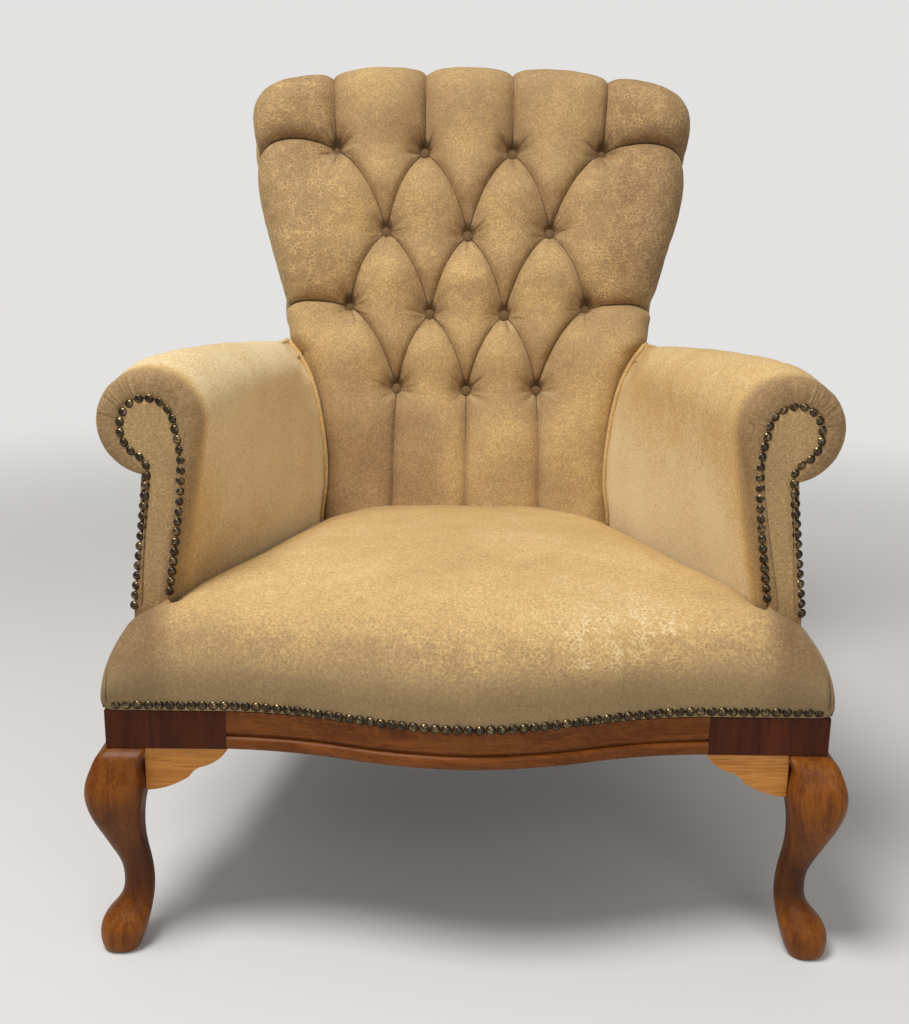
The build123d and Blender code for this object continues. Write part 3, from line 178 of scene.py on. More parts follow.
def spline(points, count):
    """Smooth rows through the given rows of points."""
    points = np.asarray(points, float)
    last = len(points) - 1
    t = np.linspace(0, last, count)
    i = np.minimum(t.astype(int), last - 1)
    f = (t - i).reshape((-1,) + (1,) * (points.ndim - 1))
    padded = np.concatenate([2 * points[:1] - points[1:2], points, 2 * points[-1:] - points[-2:-1]])
    a, b, c, d = (padded[i + k] for k in range(4))
    return 0.5 * (2 * b + (c - a) * f + (2 * a - 5 * b + 4 * c - d) * f**2
                  + (3 * b - a - 3 * c + d) * f**3)


def evenly(points, count):
    """The line through points, cut into equal steps."""
    points = np.asarray(points, float)
    along = np.concatenate([[0], np.cumsum(np.linalg.norm(np.diff(points, axis=0), axis=1))])
    t = np.linspace(0, along[-1], count)
    return np.stack([np.interp(t, along, points[:, k]) for k in range(points.shape[1])], axis=1)


def pushed(net, height):
    """net moved by height along its own normals."""
    down = np.gradient(net, axis=0)
    over = np.gradient(net, axis=1)
    normal = np.cross(over, down)
    normal /= np.maximum(np.linalg.norm(normal, axis=-1, keepdims=True), 1e-9)
    return net + normal * height[..., None]


def step(low, high, value):
    t = np.clip((value - low) / (high - low), 0, 1)
    return t * t * (3 - 2 * t)


def window(value, start, full, fade, end):
    """Rises from 0 to 1, then falls to 0 again."""
    return step(start, full, value) * (1 - step(fade, end, value))


def ripple(a, b, seed, size):
    """Slow uneven swell between -1 and 1, the same on every run."""
    dice = np.random.default_rng(seed)
    total = np.zeros_like(a, float)
    for _ in range(7):
        turn = dice.uniform(0, 2 * pi)
        wave = 2 * pi / (size * dice.uniform(0.6, 1.8))
        total += np.sin((a * cos(turn) + b * sin(turn)) * wave + dice.uniform(0, 2 * pi))
    return total / 4.5

def read(table, at, column=1, key=0):
    """A column of the table, read where its key column has the given values."""
    table = np.array(table, float)
    return np.interp(at, table[:, key], table[:, column])


def bell(value, width, power=2):
    """1 where the value is 0, falling away over the width."""
    return np.exp(-((np.abs(value) / width) ** power))


# Finishes

def maths(operation, swap=False):
    """A Python operator that adds a maths node."""
    def joined(self, other):
        pair = (other, self) if swap else (self, other)
        return self.finish.node("Math", dict(enumerate(pair)), operation=operation)
    return joined


class Strand:
    """A socket's output, so that shader maths is written as Python."""

    def __init__(self, finish, socket):
        self.finish = finish
        self.socket = socket

    __add__ = __radd__ = maths("ADD")
    __sub__ = maths("SUBTRACT")
    __rsub__ = maths("SUBTRACT", True)
    __mul__ = __rmul__ = maths("MULTIPLY")


def screen(colour):
    return [int(colour[i : i + 2], 16) / 255 for i in (1, 3, 5)]


def linear(colour):
    """Screen colour, as #RRGGBB or three shares, to the shader's linear colour."""
    shares = screen(colour) if isinstance(colour, str) else colour
    return [c / 12.92 if c <= 0.04045 else ((c + 0.055) / 1.055) ** 2.4 for c in shares] + [1.0]


class Finish:
    """A material and the nodes that it is mixed from."""

    def __init__(self, name):
        self.material = bpy.data.materials.new(name)
        self.material.use_nodes = True
        self.tree = self.material.node_tree
        self.shader = self.tree.nodes["Principled BSDF"]
        self.place = self.node("TexCoord", output="Object")

    def node(self, kind, sockets=None, output=0, **settings):
        node = self.tree.nodes.new("ShaderNode" + kind)
        for key, value in settings.items():
            setattr(node, key, value)
        for key, value in (sockets or {}).items():
            self.feed(node.inputs[key], value)
        return Strand(self, node.outputs[output])

    def feed(self, socket, value):
        if isinstance(value, Strand):
            self.tree.links.new(value.socket, socket)
        else:
            socket.default_value = value

    def moved(self, scale):
        return self.node("Mapping", {"Vector": self.place, "Scale": scale})

    def noise(self, scale, detail=3, rough=0.5, twist=0.0, vector=None, output=0):
        return self.node("TexNoise", {"Vector": vector or self.place, "Scale": scale,
                                      "Detail": detail, "Roughness": rough,
                                      "Distortion": twist}, output)

    def between(self, value, low, high, start=0.0, end=1.0):
        return self.node("MapRange", {"Value": value, "From Min": low, "From Max": high,
                                      "To Min": start, "To Max": end},
                         interpolation_type="SMOOTHSTEP")

    def value(self, name):
        return self.node("Attribute", output=2, attribute_name=name)

    def mix(self, share, a, b, blend="MIX"):
        return self.node("Mix", {0: share, 6: a, 7: b}, 2, data_type="RGBA", blend_type=blend)

    def ramp(self, share, stops):
        """Colour by share, with a stop for each (place, colour)."""
        ramp = self.node("ValToRGB", {"Fac": share})
        elements = ramp.socket.node.color_ramp.elements
        while len(elements) < len(stops):
            elements.new(0.5)
        for element, (place, colour) in zip(elements, stops):
            element.position = place
            element.color = colour
        return ramp

    def bump(self, height, distance, strength):
        return self.node("Bump", {"Height": height, "Distance": distance, "Strength": strength})

    def set(self, **sockets):
        for key, value in sockets.items():
            self.feed(self.shader.inputs[key.replace("_", " ")], value)
        return self.material


def velvet(name, settings, rubbed):
    """Sand-gold mohair velvet: its tone mixes nap with painted light and shade, and it is speckled
    and crushed in places.
    """
    f = Finish(name)
    drift = f.noise(7.0, 3, 0.5, 0.4) - 0.5
    sweep = f.noise(26.0, 4, 0.6, 0.8) - 0.5
    speckle = f.noise(330.0, 4, 0.68, 0.3) - 0.5
    pile = f.noise(850.0, 3, 0.7)
    twist = f.node("VectorMath", {0: f.noise(70.0, 2, output=1), 3: 0.006}, operation="SCALE")
    warped = f.node("VectorMath", {0: f.moved((1, 1, 1.35)), 1: twist}, operation="ADD")
    cells = f.node("TexVoronoi", {"Vector": warped, "Scale": 150.0, "Randomness": 1.0},
                   feature="DISTANCE_TO_EDGE")
    crushed = (1 - f.between(cells, 0.02, 0.22)) * f.between(f.noise(60.0, 3, 0.6, 0.8), 0.36, 0.62)
    crushed = crushed * f.value("worn")
    # tone: nap and wear, plus painted light on up-facing parts and painted shade on sides, fronts,
    # hollows and buttons
    tone = f.value("brushed_and_painted_light") + drift * 0.26 + sweep * 0.26 + speckle * 1.0 + crushed * rubbed
    colour = f.ramp(tone, ((0.0, linear(settings.deep)), (0.42, linear(settings.gold)),
                           (0.72, linear(settings.light)), (1.0, linear(settings.pale))))
    # painted shade: the seat front below its nose is mixed towards a darker grey
    colour = f.mix(f.value("shade") * 0.55, colour, linear(settings.front_shade))
    grain = f.between(pile, 0.30, 0.70, 0.78, 1.18)
    colour = f.mix(1.0, colour, f.node("CombineColor", {0: grain, 1: grain, 2: grain}), "MULTIPLY")
    along = f.node("CombineXYZ", {0: f.value("fold_x"), 1: f.value("fold_y")})
    drawn = f.noise(1.0, 2, 0.5, 0.0, along)
    # painted shade down the drawn gather lines and a painted highlight between them, round the
    # buttons and the scrolls; both also shape the bump
    folds = f.between(drawn, 0.54, 0.68) * f.value("folded")
    lit = (1 - f.between(drawn, 0.36, 0.46)) * f.value("folded")
    colour = f.mix(folds * 0.38, colour, linear(settings.fold_shade))
    colour = f.mix(lit * 0.16, colour, linear(settings.pale))
    # painted shade: the crease value darkens pleats, pits, joints and buttons towards the dark
    # shade colour
    colour = f.mix(f.between(f.value("crease"), 0.25, 1.0) * 0.94, colour, linear(settings.fold_shade))
    height = pile * 0.35 + speckle * 0.9 + crushed * 0.7 - folds * 2.2 + lit * 1.0
    rough = f.between(speckle, -0.2, 0.2, 0.90, 0.78)
    return f.set(Base_Color=colour, Roughness=rough, Normal=f.bump(height, 0.0008, 0.55),
                 Sheen_Weight=0.36, Sheen_Roughness=0.35, Sheen_Tint=linear(settings.pale),
                 Specular_IOR_Level=0.12)


def timber(name, dark, light, streak, along="X", gloss=0.38, ankle=0.0):
    """Waxed wood: fine long grain, short dark pores and slow changes of colour."""
    f = Finish(name)
    stretch = {"X": (0.05, 1, 1), "Y": (1, 0.05, 1), "Z": (1, 1, 0.05)}[along]
    bands = f.noise(60.0, 4, 0.6, 0.5, f.moved(tuple(s * 1.6 if s < 1 else s for s in stretch)))
    fine = f.noise(420.0, 4, 0.65, 0.2, f.moved(stretch))
    pores = f.noise(900.0, 2, 0.6, 0.0, f.moved(tuple(s * 0.8 if s < 1 else s for s in stretch)))
    cloud = f.noise(9.0, 3, 0.5, 0.5)
    share = f.between(bands * 0.55 + fine * 0.45, 0.36, 0.64)
    colour = f.mix(share, linear(dark), linear(light))
    colour = f.mix(f.between(cloud, 0.40, 0.72) * 0.30, colour, linear(dark))
    colour = f.mix(f.between(pores, 0.58, 0.74) * 0.5, colour, linear(streak))
    # painted shade: darker low down the leg, towards the ankle, broken up by the cloud noise
    if ankle:
        level = f.node("SeparateXYZ", {0: f.place}, 2)
        ankle_shade = f.between(level, 0.030, 0.075) * (1 - f.between(level, 0.105, 0.19))
        ankle_shade = ankle_shade * 0.5 + f.between(cloud, 0.45, 0.7) * 0.3
        colour = f.mix(ankle_shade * ankle, colour, linear(streak))
    rough = f.between(fine, 0.3, 0.7, gloss - 0.03, gloss + 0.12)
    return f.set(Base_Color=colour, Roughness=rough, Coat_Weight=0.03, Coat_Roughness=0.2,
                 Specular_IOR_Level=0.16, Normal=f.bump(fine * 0.5 - pores * 0.5, 0.0002, 0.3))


def antique(name):
    """Dark bronzed nail heads, rubbed brighter in places."""
    f = Finish(name)
    rub = f.between(f.noise(160.0, 3, 0.6), 0.45, 0.7)
    colour = f.mix(rub * 0.7, linear("#443A2E"), linear("#9A8460"))
    return f.set(Base_Color=colour, Metallic=0.9, Roughness=f.between(rub, 0, 1, 0.34, 0.24),
                 Normal=f.bump(f.noise(900.0, 2), 0.0002, 0.3))


def coarse_cloth(name, colour, other, scale, bump=0.0006):
    """Plain woven cloth of crossed threads."""
    f = Finish(name)
    threads = {"Vector": f.place, "Scale": scale, "Distortion": 1.2, "Detail": 2.0}
    x, y = (f.node("TexWave", threads, 1, bands_direction=way) for way in "XY")
    weave = x * 0.5 + y * 0.5
    mixed = f.mix(f.between(weave, 0.2, 0.8) * 0.7, linear(colour), linear(other))
    mixed = f.mix(f.between(f.noise(20.0), 0.4, 0.7) * 0.3, mixed, linear(other))
    return f.set(Base_Color=mixed, Roughness=0.9, Normal=f.bump(weave, bump, 0.5))


def drawn_wire(name):
    """Bare spring steel, unevenly dull."""
    f = Finish(name)
    colour = f.mix(f.between(f.noise(80.0), 0.4, 0.7), linear("#77797B"), linear("#9A9C9E"))
    dull = f.between(f.noise(300.0), 0.3, 0.7, 0.3, 0.45)
    return f.set(Base_Color=colour, Metallic=0.9, Roughness=dull)


WOODS = {  # dark, light and pore colours, the way of the grain, gloss, painted shade at the ankle
    "leg_walnut": ("#683410", "#945618", "#381A07", "Z", 0.36, 1.1),
    "ear_honey": ("#A8692A", "#D2914A", "#6E3C12", "X"),
    "block_walnut": ("#3B1604", "#552408", "#1E0A02", "Z", 0.5),
    # painted shade: the rail's honey colours are darkened, as if in the seat's shadow
    "rail_honey": ("#5E2E06", "#82491A", "#341704", "X"),
    "side_walnut": ("#6A3609", "#8E521A", "#3C1B05", "Y"),
    "post_walnut": ("#5A2A0A", "#804616", "#301405", "Z"),
    "beech": ("#B08A62", "#CDAA80", "#8E6A45", "Z", 0.6),
}
CLOTHS = {  # both thread colours, fineness, height of the weave
    "jute": ("#A98F63", "#6E5836", 260.0),
    "hessian": ("#9C8458", "#5F4C2E", 330.0),
    "cambric": ("#262422", "#12100F", 700.0, 0.0002),
}
VELVETS = {"velvet_back": 0.25, "velvet_arm": 0.16, "velvet_seat": 0.27}  # how pale it rubs
METALS = {"steel": drawn_wire, "nails": antique}
FINISHES = {}


def finish(key):
    """The finish of that name, made when first asked for."""
    if key not in FINISHES:
        if key in WOODS:
            made = timber(key, *WOODS[key])
        elif key in CLOTHS:
            made = coarse_cloth(key, *CLOTHS[key])
        elif key in VELVETS:
            made = velvet(key, bpy.context.scene.chair_velvet, VELVETS[key])
        else:
            made = METALS[key](key)
        FINISHES[key] = made
    return FINISHES[key]


def dressed(piece, material):
    piece.data.materials.clear()
    piece.data.materials.append(material)


def placed(piece, key, slot, *nodes):
    """Finishes a piece, puts it on the chair and hides the solids that it stands for."""
    dressed(piece, finish(key))
    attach(piece, "root")
    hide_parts(*nodes)


def upholstered(piece, key, nodes):
    placed(piece, key, "cover_fabric", *nodes)


# The buttoned back

RAKE = radians(19.3)
BACK_Y, BACK_Z = 568.0, 348.2
ROWS = (
    ((193, 512), (64, 510.5)),
    ((118.5, 392), (0, 387)),
    ((170, 281), (53.5, 271)),
    ((100, 162), (0, 160)),
)
EDGE = (
    (255, 262), (265, 290), (274, 325), (286, 370), (307, 445), (314, 495), (319, 545), (317, 570),
    (308, 588), (295, 600), (273, 611), (237, 621), (199, 627), (150, 633), (95, 636), (0, 637.5),
)
BESIDE_ARM = ((190, -70), (190, 20), (192, 64), (201, 123), (212, 171), (226, 206), (237, 219),
              (245, 231), (251, 255), (265, 290))
EDGE_TUCK = 12.0      # the crest and sides are this far inside the edge line
EDGE_ROUND = 30.0     # radius of their turn to the rear
LOW_TUCK, LOW_ROUND = 3.0, 22.0   # the same beside the arms
SKIN_N = 38.0         # the bare skin stands this far off the posts, before its stuffing
STUFFING = 45.0
WALL = 70.0
BACK_LOW, BACK_TOP = -70.0, 683.0
ARM_TOP_S = 290       # where the arms end, up the back
PLEAT_REACH = 95
BUTTON_N = 34.0
BUTTON_REACH = 46


def raked(x, s, n):
    """From across, up and off the raked back to the chair's millimetres."""
    y = BACK_Y + s * sin(RAKE) - n * cos(RAKE)
    return np.stack([x, y, BACK_Z + s * cos(RAKE) + n * sin(RAKE)], -1)


def rear_y(z, depth):
    """The plane that far behind the raked back's middle."""
    return BACK_Y + (z - BACK_Z) * np.tan(RAKE) + depth / cos(RAKE)


def fold_between(upper, lower):
    """A pleat from an upper button to a lower one: full above, drawn in to a point below."""
    t = np.linspace(0, 1, 22)
    across = 0.6 * t**0.68 + 0.4 * np.sin(pi / 2 * t) ** 0.8
    (x0, y0), (x1, y1) = upper, lower
    return np.stack([x0 + (x1 - x0) * across, y0 + (y1 - y0) * t], 1)


def pleat_lines():
    """Every pleat as (points, depth at its start, in its middle and at its end)."""
    r1, r2, r3, r4 = ROWS
    pairs = ((r1[0], r2[0]), (r1[1], r2[0]), (r1[1], r2[1]), (r2[0], r3[0]), (r2[0], r3[1]),
             (r2[1], r3[1]), (r3[0], r4[0]), (r3[1], r4[0]), (r3[1], r4[1]))
    right = [(fold_between(*pair), (1.0, 0.62, 1.0)) for pair in pairs]
    for count, depth, *points in (
        (30, (1.0, 0.55, 0.34), (193, 512), (196, 560), (199, 625), (203, 720)),
        (30, (1.0, 0.55, 0.34), (64, 510.5), (63.5, 560), (63, 630), (62, 720)),
        (40, (1.0, 0.85, 0.9), (193, 512), (207, 517), (226, 521), (256, 523), (287, 515),
         (313, 495), (345, 465)),
        (40, (1.0, 0.85, 0.8), (170, 281), (184, 283), (200, 284.5), (229, 285), (257, 281),
         (300, 272)),
        (24, (1.0, 0.42, 0.42), (100, 162), (101, 100), (102, 0), (102, -80)),
    ):
        right.append((spline(points, count), depth))
    lines = [(points * way, depth) for points, depth in right for way in ([1, 1], [-1, 1])]
    lines.append((np.array([(0, 160), (0, 80), (0, 0), (0, -80)], float), (1.0, 0.42, 0.42)))
    return lines


def nearest(p, q, line):
    """Distance to a line, the side of it, the share along it and its nearest point."""
    best = np.full(p.shape, 1e9)
    side, share = np.zeros(p.shape), np.zeros(p.shape)
    x, y = p.copy(), q.copy()
    count = len(line) - 1
    for i, ((ax, ay), (bx, by)) in enumerate(zip(line[:-1], line[1:])):
        dx, dy = bx - ax, by - ay
        t = np.clip(((p - ax) * dx + (q - ay) * dy) / (dx * dx + dy * dy), 0, 1)
        ox, oy = p - ax - dx * t, q - ay - dy * t
        gap = ox * ox + oy * oy
        closer = gap < best
        best = np.where(closer, gap, best)
        side = np.where(closer, dx * oy - dy * ox, side)
        share = np.where(closer, (i + t) / count, share)
        x, y = np.where(closer, ax + dx * t, x), np.where(closer, ay + dy * t, y)
    return np.sqrt(best), np.sign(side), share, x, y


def close_to(p, q, points, reach):
    """Which points lie in the line's box, widened by the reach."""
    lo, hi = points.min(0) - reach, points.max(0) + reach
    return (p > lo[0]) & (p < hi[0]) & (q > lo[1]) & (q < hi[1])


def onto_pleats(p, q, spacing):
    """Moves the grid points that nearly touch a pleat onto it, so that its edge is crisp."""
    for points, _ in pleat_lines():
        near = close_to(p, q, points, spacing)
        gap, _, _, x, y = nearest(p[near], q[near], points)
        touch = gap < spacing * 0.52
        p[near] = np.where(touch, x, p[near])
        q[near] = np.where(touch, y, q[near])
    return p, q


def edge_line():
    half = spline(EDGE, 160)
    return np.concatenate([half, half[-2::-1] * [-1, 1]])


def back_plan(columns, rows):
    """The back's flat plan as a grid, wide enough for its edges to turn to the rear."""
    edge = edge_line()
    reach = EDGE_ROUND * pi / 2 + WALL - 2 * EDGE_ROUND - EDGE_TUCK
    way = np.gradient(edge, axis=0)
    out = np.stack([way[:, 1], -way[:, 0]], 1)
    out /= np.linalg.norm(out, axis=1, keepdims=True)
    far = (edge + out * reach)[: len(edge) // 2 + 1]
    far = far[np.argsort(far[:, 1])]
    u = np.linspace(-1, 1, columns)[None, :]
    v = np.linspace(0, 1, rows)[:, None]
    q = BACK_LOW + (BACK_TOP - BACK_LOW) * v + 0 * u
    low = read(BESIDE_ARM, q, 0, 1) + reach
    wide = np.where(q < ARM_TOP_S, low, np.interp(q, far[:, 1], far[:, 0]))
    p, q = onto_pleats(u * wide, q, (BACK_TOP - BACK_LOW) / (rows - 1))
    return p, q, edge


def back_pleats(p, q):
    """How far the stuffing rises beside the pleats, the painted shade of the creases and the
    painted shade in the hollows round them.
    """
    lift = np.ones_like(p)
    crease, painted_valley_shade = np.zeros_like(p), np.zeros_like(p)
    for points, (start, middle, end) in pleat_lines():
        near = close_to(p, q, points, PLEAT_REACH)
        gap, side, share, _, _ = nearest(p[near], q[near], points)
        ends = np.where(share < 0.5, start, end)
        deep = middle + (ends - middle) * np.abs(2 * share - 1) ** 1.6
        upper = side * np.sign(points[-1, 0] - points[0, 0] + 1e-6) > 0
        lip = 0.26 * np.exp(-gap / np.where(upper, 2.6, 8.0)) + 0.30 * np.exp(-gap / 13.0)
        wide = 0.36 * np.exp(-gap / 38.0) * (1 - step(40, 92, gap))
        lift[near] *= 1 - deep * (lip + wide)
        low_side = np.where(upper, 1.0, 0.35)
        # painted shade: darker just beside each pleat, most on its upper side, where the upper
        # pillow overhangs
        painted_valley_shade[near] = np.maximum(painted_valley_shade[near], deep * low_side * np.exp(-gap / 12.0))
        # painted shade: a thin dark line at the bottom of each crease
        crease[near] = np.maximum(crease[near], deep**0.5 * bell(gap, 1.3))
    return lift, crease, painted_valley_shade


def back_net(columns, rows):
    """The stuffed back as one skin, from the seat over the crest to the posts' rear."""
    p, q, edge = back_plan(columns, rows)
    gap, _, _, ex, ey = nearest(p, q, edge)
    ox, oy = p - ex, q - ey
    inside = np.abs(p) < read(BESIDE_ARM + ((267, 300),), q, 0, 1)
    inside = np.where(ey > 262.5, (ex * ox + (ey - 400) * oy) < 0, inside)
    sign = np.where(inside, -1.0, 1.0)
    length = np.maximum(gap, 1e-6)
    side_x = read(BESIDE_ARM, q, 0, 1)
    low_mix = 1 - step(268, 300, q)

    def blend(high, low):
        return high * (1 - low_mix) + low * low_mix

    ex, ey = blend(ex, np.sign(p) * side_x), blend(ey, q)
    nx, ny = blend(ox / length * sign, np.sign(p)), blend(oy / length * sign, 0)
    tuck, radius = blend(EDGE_TUCK, LOW_TUCK), blend(EDGE_ROUND, LOW_ROUND)
    past = blend(gap * sign, np.abs(p) - side_x) + tuck + radius
    turned = past > 0
    angle = np.clip(past / radius, 0, pi / 2)
    inset = radius * (1 - np.sin(angle)) + tuck
    drop = radius * (1 - np.cos(angle)) + np.maximum(past - radius * pi / 2, 0)
    x = np.where(turned, ex - nx * inset, p)
    s = np.where(turned, ey - ny * inset, q)
    n = SKIN_N + 7 * (x / 300) ** 2 - drop
    lean = np.where(turned, angle, 0)

    lift, crease, painted_valley_shade = back_pleats(p, q)
    folded, fold_x, fold_y = (np.zeros_like(p) for _ in range(3))
    full = STUFFING * np.cos(lean) ** 2 + EDGE_TUCK * np.sin(lean) ** 2
    height = full * (lift + (1 - lift) * step(24, 50, drop) * turned)
    for bx, bs in button_places():
        dx, ds = p - bx, q - bs
        r = np.hypot(dx, ds)
        turn = np.arctan2(ds, dx)
        pull = bell(r, 13.5 - 3.0 * np.sin(turn), 1.7)
        height = height * (1 - pull) - 4.0 * pull
        height += 0.55 * np.sin(turn * 9 + bx) * bell(r - 20, 8.0)
        # painted shade: the pit round each button and the hollow just above it are darkened
        crease = np.maximum(crease, 0.9 * bell(np.hypot(dx, (ds - 5) * 0.8), 12.0, 3))
        painted_valley_shade = np.maximum(painted_valley_shade, 1.1 * bell(np.hypot(dx, (ds - 13) * 0.8), 20.0))
        near = r < BUTTON_REACH
        folded = np.where(near, window(r, 7, 11, 15, 40), folded)
        fold_x = np.where(near, dx / np.maximum(r, 1) * 2.6 + bs, fold_x)
        fold_y = np.where(near, ds / np.maximum(r, 1) * 2.6 + bx, fold_y)
    height += 0.9 * ripple(p, q, 11, 75) + 0.35 * ripple(p, q, 12, 26)
    sideways = np.sin(lean) * height
    x, s, n = x + nx * sideways, s + ny * sideways, n + np.cos(lean) * height
    sides = step(150, 230, np.abs(p)) * step(280, 330, q)
    # painted shade: the side lobes are darker where they turn away; the back is a little lighter
    # low down
    brushed_and_painted_light = 0.43 + 0.09 * ripple(p, q, 5, 130) - 0.12 * sides + 0.05 * (1 - step(120, 330, q))
    # painted shade: the right side lobe darker still than the left
    brushed_and_painted_light -= 0.12 * step(140, 200, p) * sides
    # painted shade: the lower left beside the arm is darker
    brushed_and_painted_light -= 0.24 * step(10, 60, -p) * (1 - step(100, 170, q))
    # painted shade from the creases and the button pits
    brushed_and_painted_light = np.clip(brushed_and_painted_light - 0.30 * painted_valley_shade, 0, 1)
    worn = np.clip(sides + 0.6 * window(q, 200, 300, 420, 520), 0, 1)
    points = raked(x + 3.5 * (x / 300) ** 2 * step(-28, 10, n), s, n)
    return points, {"crease": crease, "brushed_and_painted_light": brushed_and_painted_light, "worn": worn, "folded": folded,
                    "fold_x": fold_x, "fold_y": fold_y}


def button_places():
    places = [(x, s) for row in ROWS for x, s in row]
    return places + [(-x, s) for x, s in places if x]


# The arms

SCROLL = (  # back from the front, the scroll's middle across and up, its radius
    (79, 330, 549, 55), (95, 330, 549, 55), (150, 325, 555, 57), (220, 311, 556, 55),
    (330, 289, 553.5, 51), (430, 264, 550, 46), (497, 252, 545, 42), (560, 251, 543, 42),
    (640, 250, 535, 38.5), (700, 250, 532, 37.5),
)
NAIL_LINE = (
    (353, 350), (351.5, 367), (350.5, 379), (348, 390), (346.5, 401), (344.5, 412), (343, 423),
    (340.5, 433), (338.5, 444), (336.5, 455), (335, 465), (333.5, 475), (333, 484), (332, 495),
    (332.5, 504), (337.5, 513), (345.5, 519), (352.5, 526), (357.5, 535), (359, 544), (359.5, 555),
    (356, 565), (349, 572), (340.5, 575), (331, 576.5), (322, 575), (313.5, 572), (307, 564),
    (301.5, 555), (300, 544), (299, 534), (297.5, 524), (297.5, 513), (297, 502), (297.5, 492),
    (298.5, 481), (299.5, 470), (300.5, 460), (302.5, 450), (304.5, 440), (306, 429), (308.5, 419),
    (310.5, 406), (312.5, 396), (313.5, 386), (314.5, 375), (316, 367),
)
ARM_LOW = 272.0
FACE_Y = 79.0         # front of the arms
ARM_SPLIT = (16, 84, 44, 8)   # points up the outside, round the scroll, down the inside, below
ARM_SIDES = 143       # the columns after it are the arm's bottom
PIPING = ((199, 497, 340), (199, 497, 354), (193, 505, 391), (194, 515, 432), (203, 535, 488),
          (215, 545, 533), (233, 554, 565), (243, 558, 576), (247.5, 563, 582), (253, 574, 582))


def side_x(y, z):
    """The arm's outside, which leans out and runs in to the rear."""
    along = (y - FACE_Y) / 481
    low, high = 360 - 90 * along, 340 - 88 * along
    return low + (high - low) * (z - 229) / 266


def inner_x(y):
    return 314 - 124 * min(1, (y - 72) / 425)


def arm_ring(y, inset):
    """Closed section of the arm: up the outside, round the scroll, down the inside."""
    up, around, down, below = ARM_SPLIT
    x0, z0, radius = (float(read(SCROLL, y, column)) for column in (1, 2, 3))
    r = radius - inset
    angle = -pi / 2
    for _ in range(5):
        stem = side_x(y, z0 + r * sin(angle)) - 3.3 - inset
        angle = -acos(max(-1, min(1, (stem - x0) / r)))
    inner = inner_x(y) + inset
    away = hypot(inner - x0, 360 - z0)
    touch = atan2(360 - z0, inner - x0) - acos(r / away)
    touch = touch + 2 * pi if touch < 0 else touch
    foot = (side_x(y, ARM_LOW) - 3.3 - inset, ARM_LOW)
    outer = evenly([foot, (stem, z0 + r * sin(angle))], up)
    turns = np.linspace(angle, touch, around)
    scroll = np.stack([x0 + r * np.cos(turns), z0 + r * np.sin(turns)], 1)
    inside = evenly([tuple(scroll[-1]), (inner, 360), (inner, ARM_LOW)], down)
    for _ in range(4):
        inside[1:-1] = inside[1:-1] * 0.5 + (inside[:-2] + inside[2:]) * 0.25
    return np.concatenate([outer[:-1], scroll, inside[1:], evenly([inside[-1], foot], below)[1:]])


def arm_neck(y):
    """Height at which the outside of the arm meets its scroll."""
    return float(arm_ring(y, 0)[ARM_SPLIT[0] - 1][1]) - 1.0


def slim_ring(inset):
    """The arm's front outline, set in, but hardly so beside the outer nails, where it is narrow."""
    wide, narrow = arm_ring(FACE_Y, inset), arm_ring(FACE_Y, inset * 0.22)
    share = step(9, 34, np.arange(len(wide)))[:, None]
    return narrow * (1 - share) + wide * share


def nail_ring():
    """The nail line with as many points as an arm ring, for the front border to start from."""
    up, around, down, below = ARM_SPLIT
    line = np.array(NAIL_LINE, float)
    outer = evenly(np.concatenate([[(355.5, ARM_LOW)], line[:14]]), up)
    scroll = evenly(line[13:33], around)
    inside = evenly(np.concatenate([line[32:], [(318, ARM_LOW)]]), down)
    bottom = evenly([inside[-1], outer[0]], below)
    return np.concatenate([outer[:-1], scroll, inside[1:], bottom[1:]])


def arm_net():
    """The upholstered arm from the nail line back to the rear post."""
    nails = nail_ring()
    rings, ys = [], []
    edge = 16.0
    low = step(340, 354, nails[:, 1])
    for share in (0.0, 0.12, 0.3, 0.55, 0.8, 1.0):
        rings.append(nails + (slim_ring(edge) - nails) * share)
        ys.append(FACE_Y + 0.6 - 3.4 * low * sin(pi * min(share * 0.62 + 0.06, 1)))
    for turn in np.linspace(0, pi / 2, 12)[1:]:
        rings.append(slim_ring(edge * (1 - sin(turn))))
        ys.append(ys[5] + edge * (1 - cos(turn)))
    start = FACE_Y + edge - 2
    for y in np.linspace(start, 668, 120)[1:]:
        rings.append(arm_ring(y, 0))
        ys.append(y + 0 * low)
    flat = np.array(rings)
    net = np.zeros(flat.shape[:2] + (3,))
    net[..., 0], net[..., 2] = flat[..., 0], flat[..., 1]
    net[..., 1] = np.array(ys)
    return net


def arm_details(net):
    """Padding, gathers round the scroll's edge and slow unevenness."""
    x, y, z = net[..., 0], net[..., 1], net[..., 2]
    row, column = np.indices(x.shape)
    round_scroll = window(column, 14, 26, 88, 102)
    inside = window(column, 96, 112, 128, 142)
    swell = 4.0 * inside * window(y, 95, 220, 360, 480)
    wave = column * 2 * pi / 5.3 + 1.9 * np.sin(column * 0.31) + 0.8 * np.sin(column * 0.83)
    gather = np.sin(wave) * (0.65 + 0.35 * np.sin(column * 0.47))
    front = window(row, 1, 6, 11, 24)
    folds = gather * front * round_scroll * (0.25 + 0.75 * step(40, 60, column))
    soft = 0.9 * ripple(y, z + x, 21, 95) * step(100, 150, y)
    return swell + 0.6 * folds + soft * step(0, 4, row), folds, round_scroll

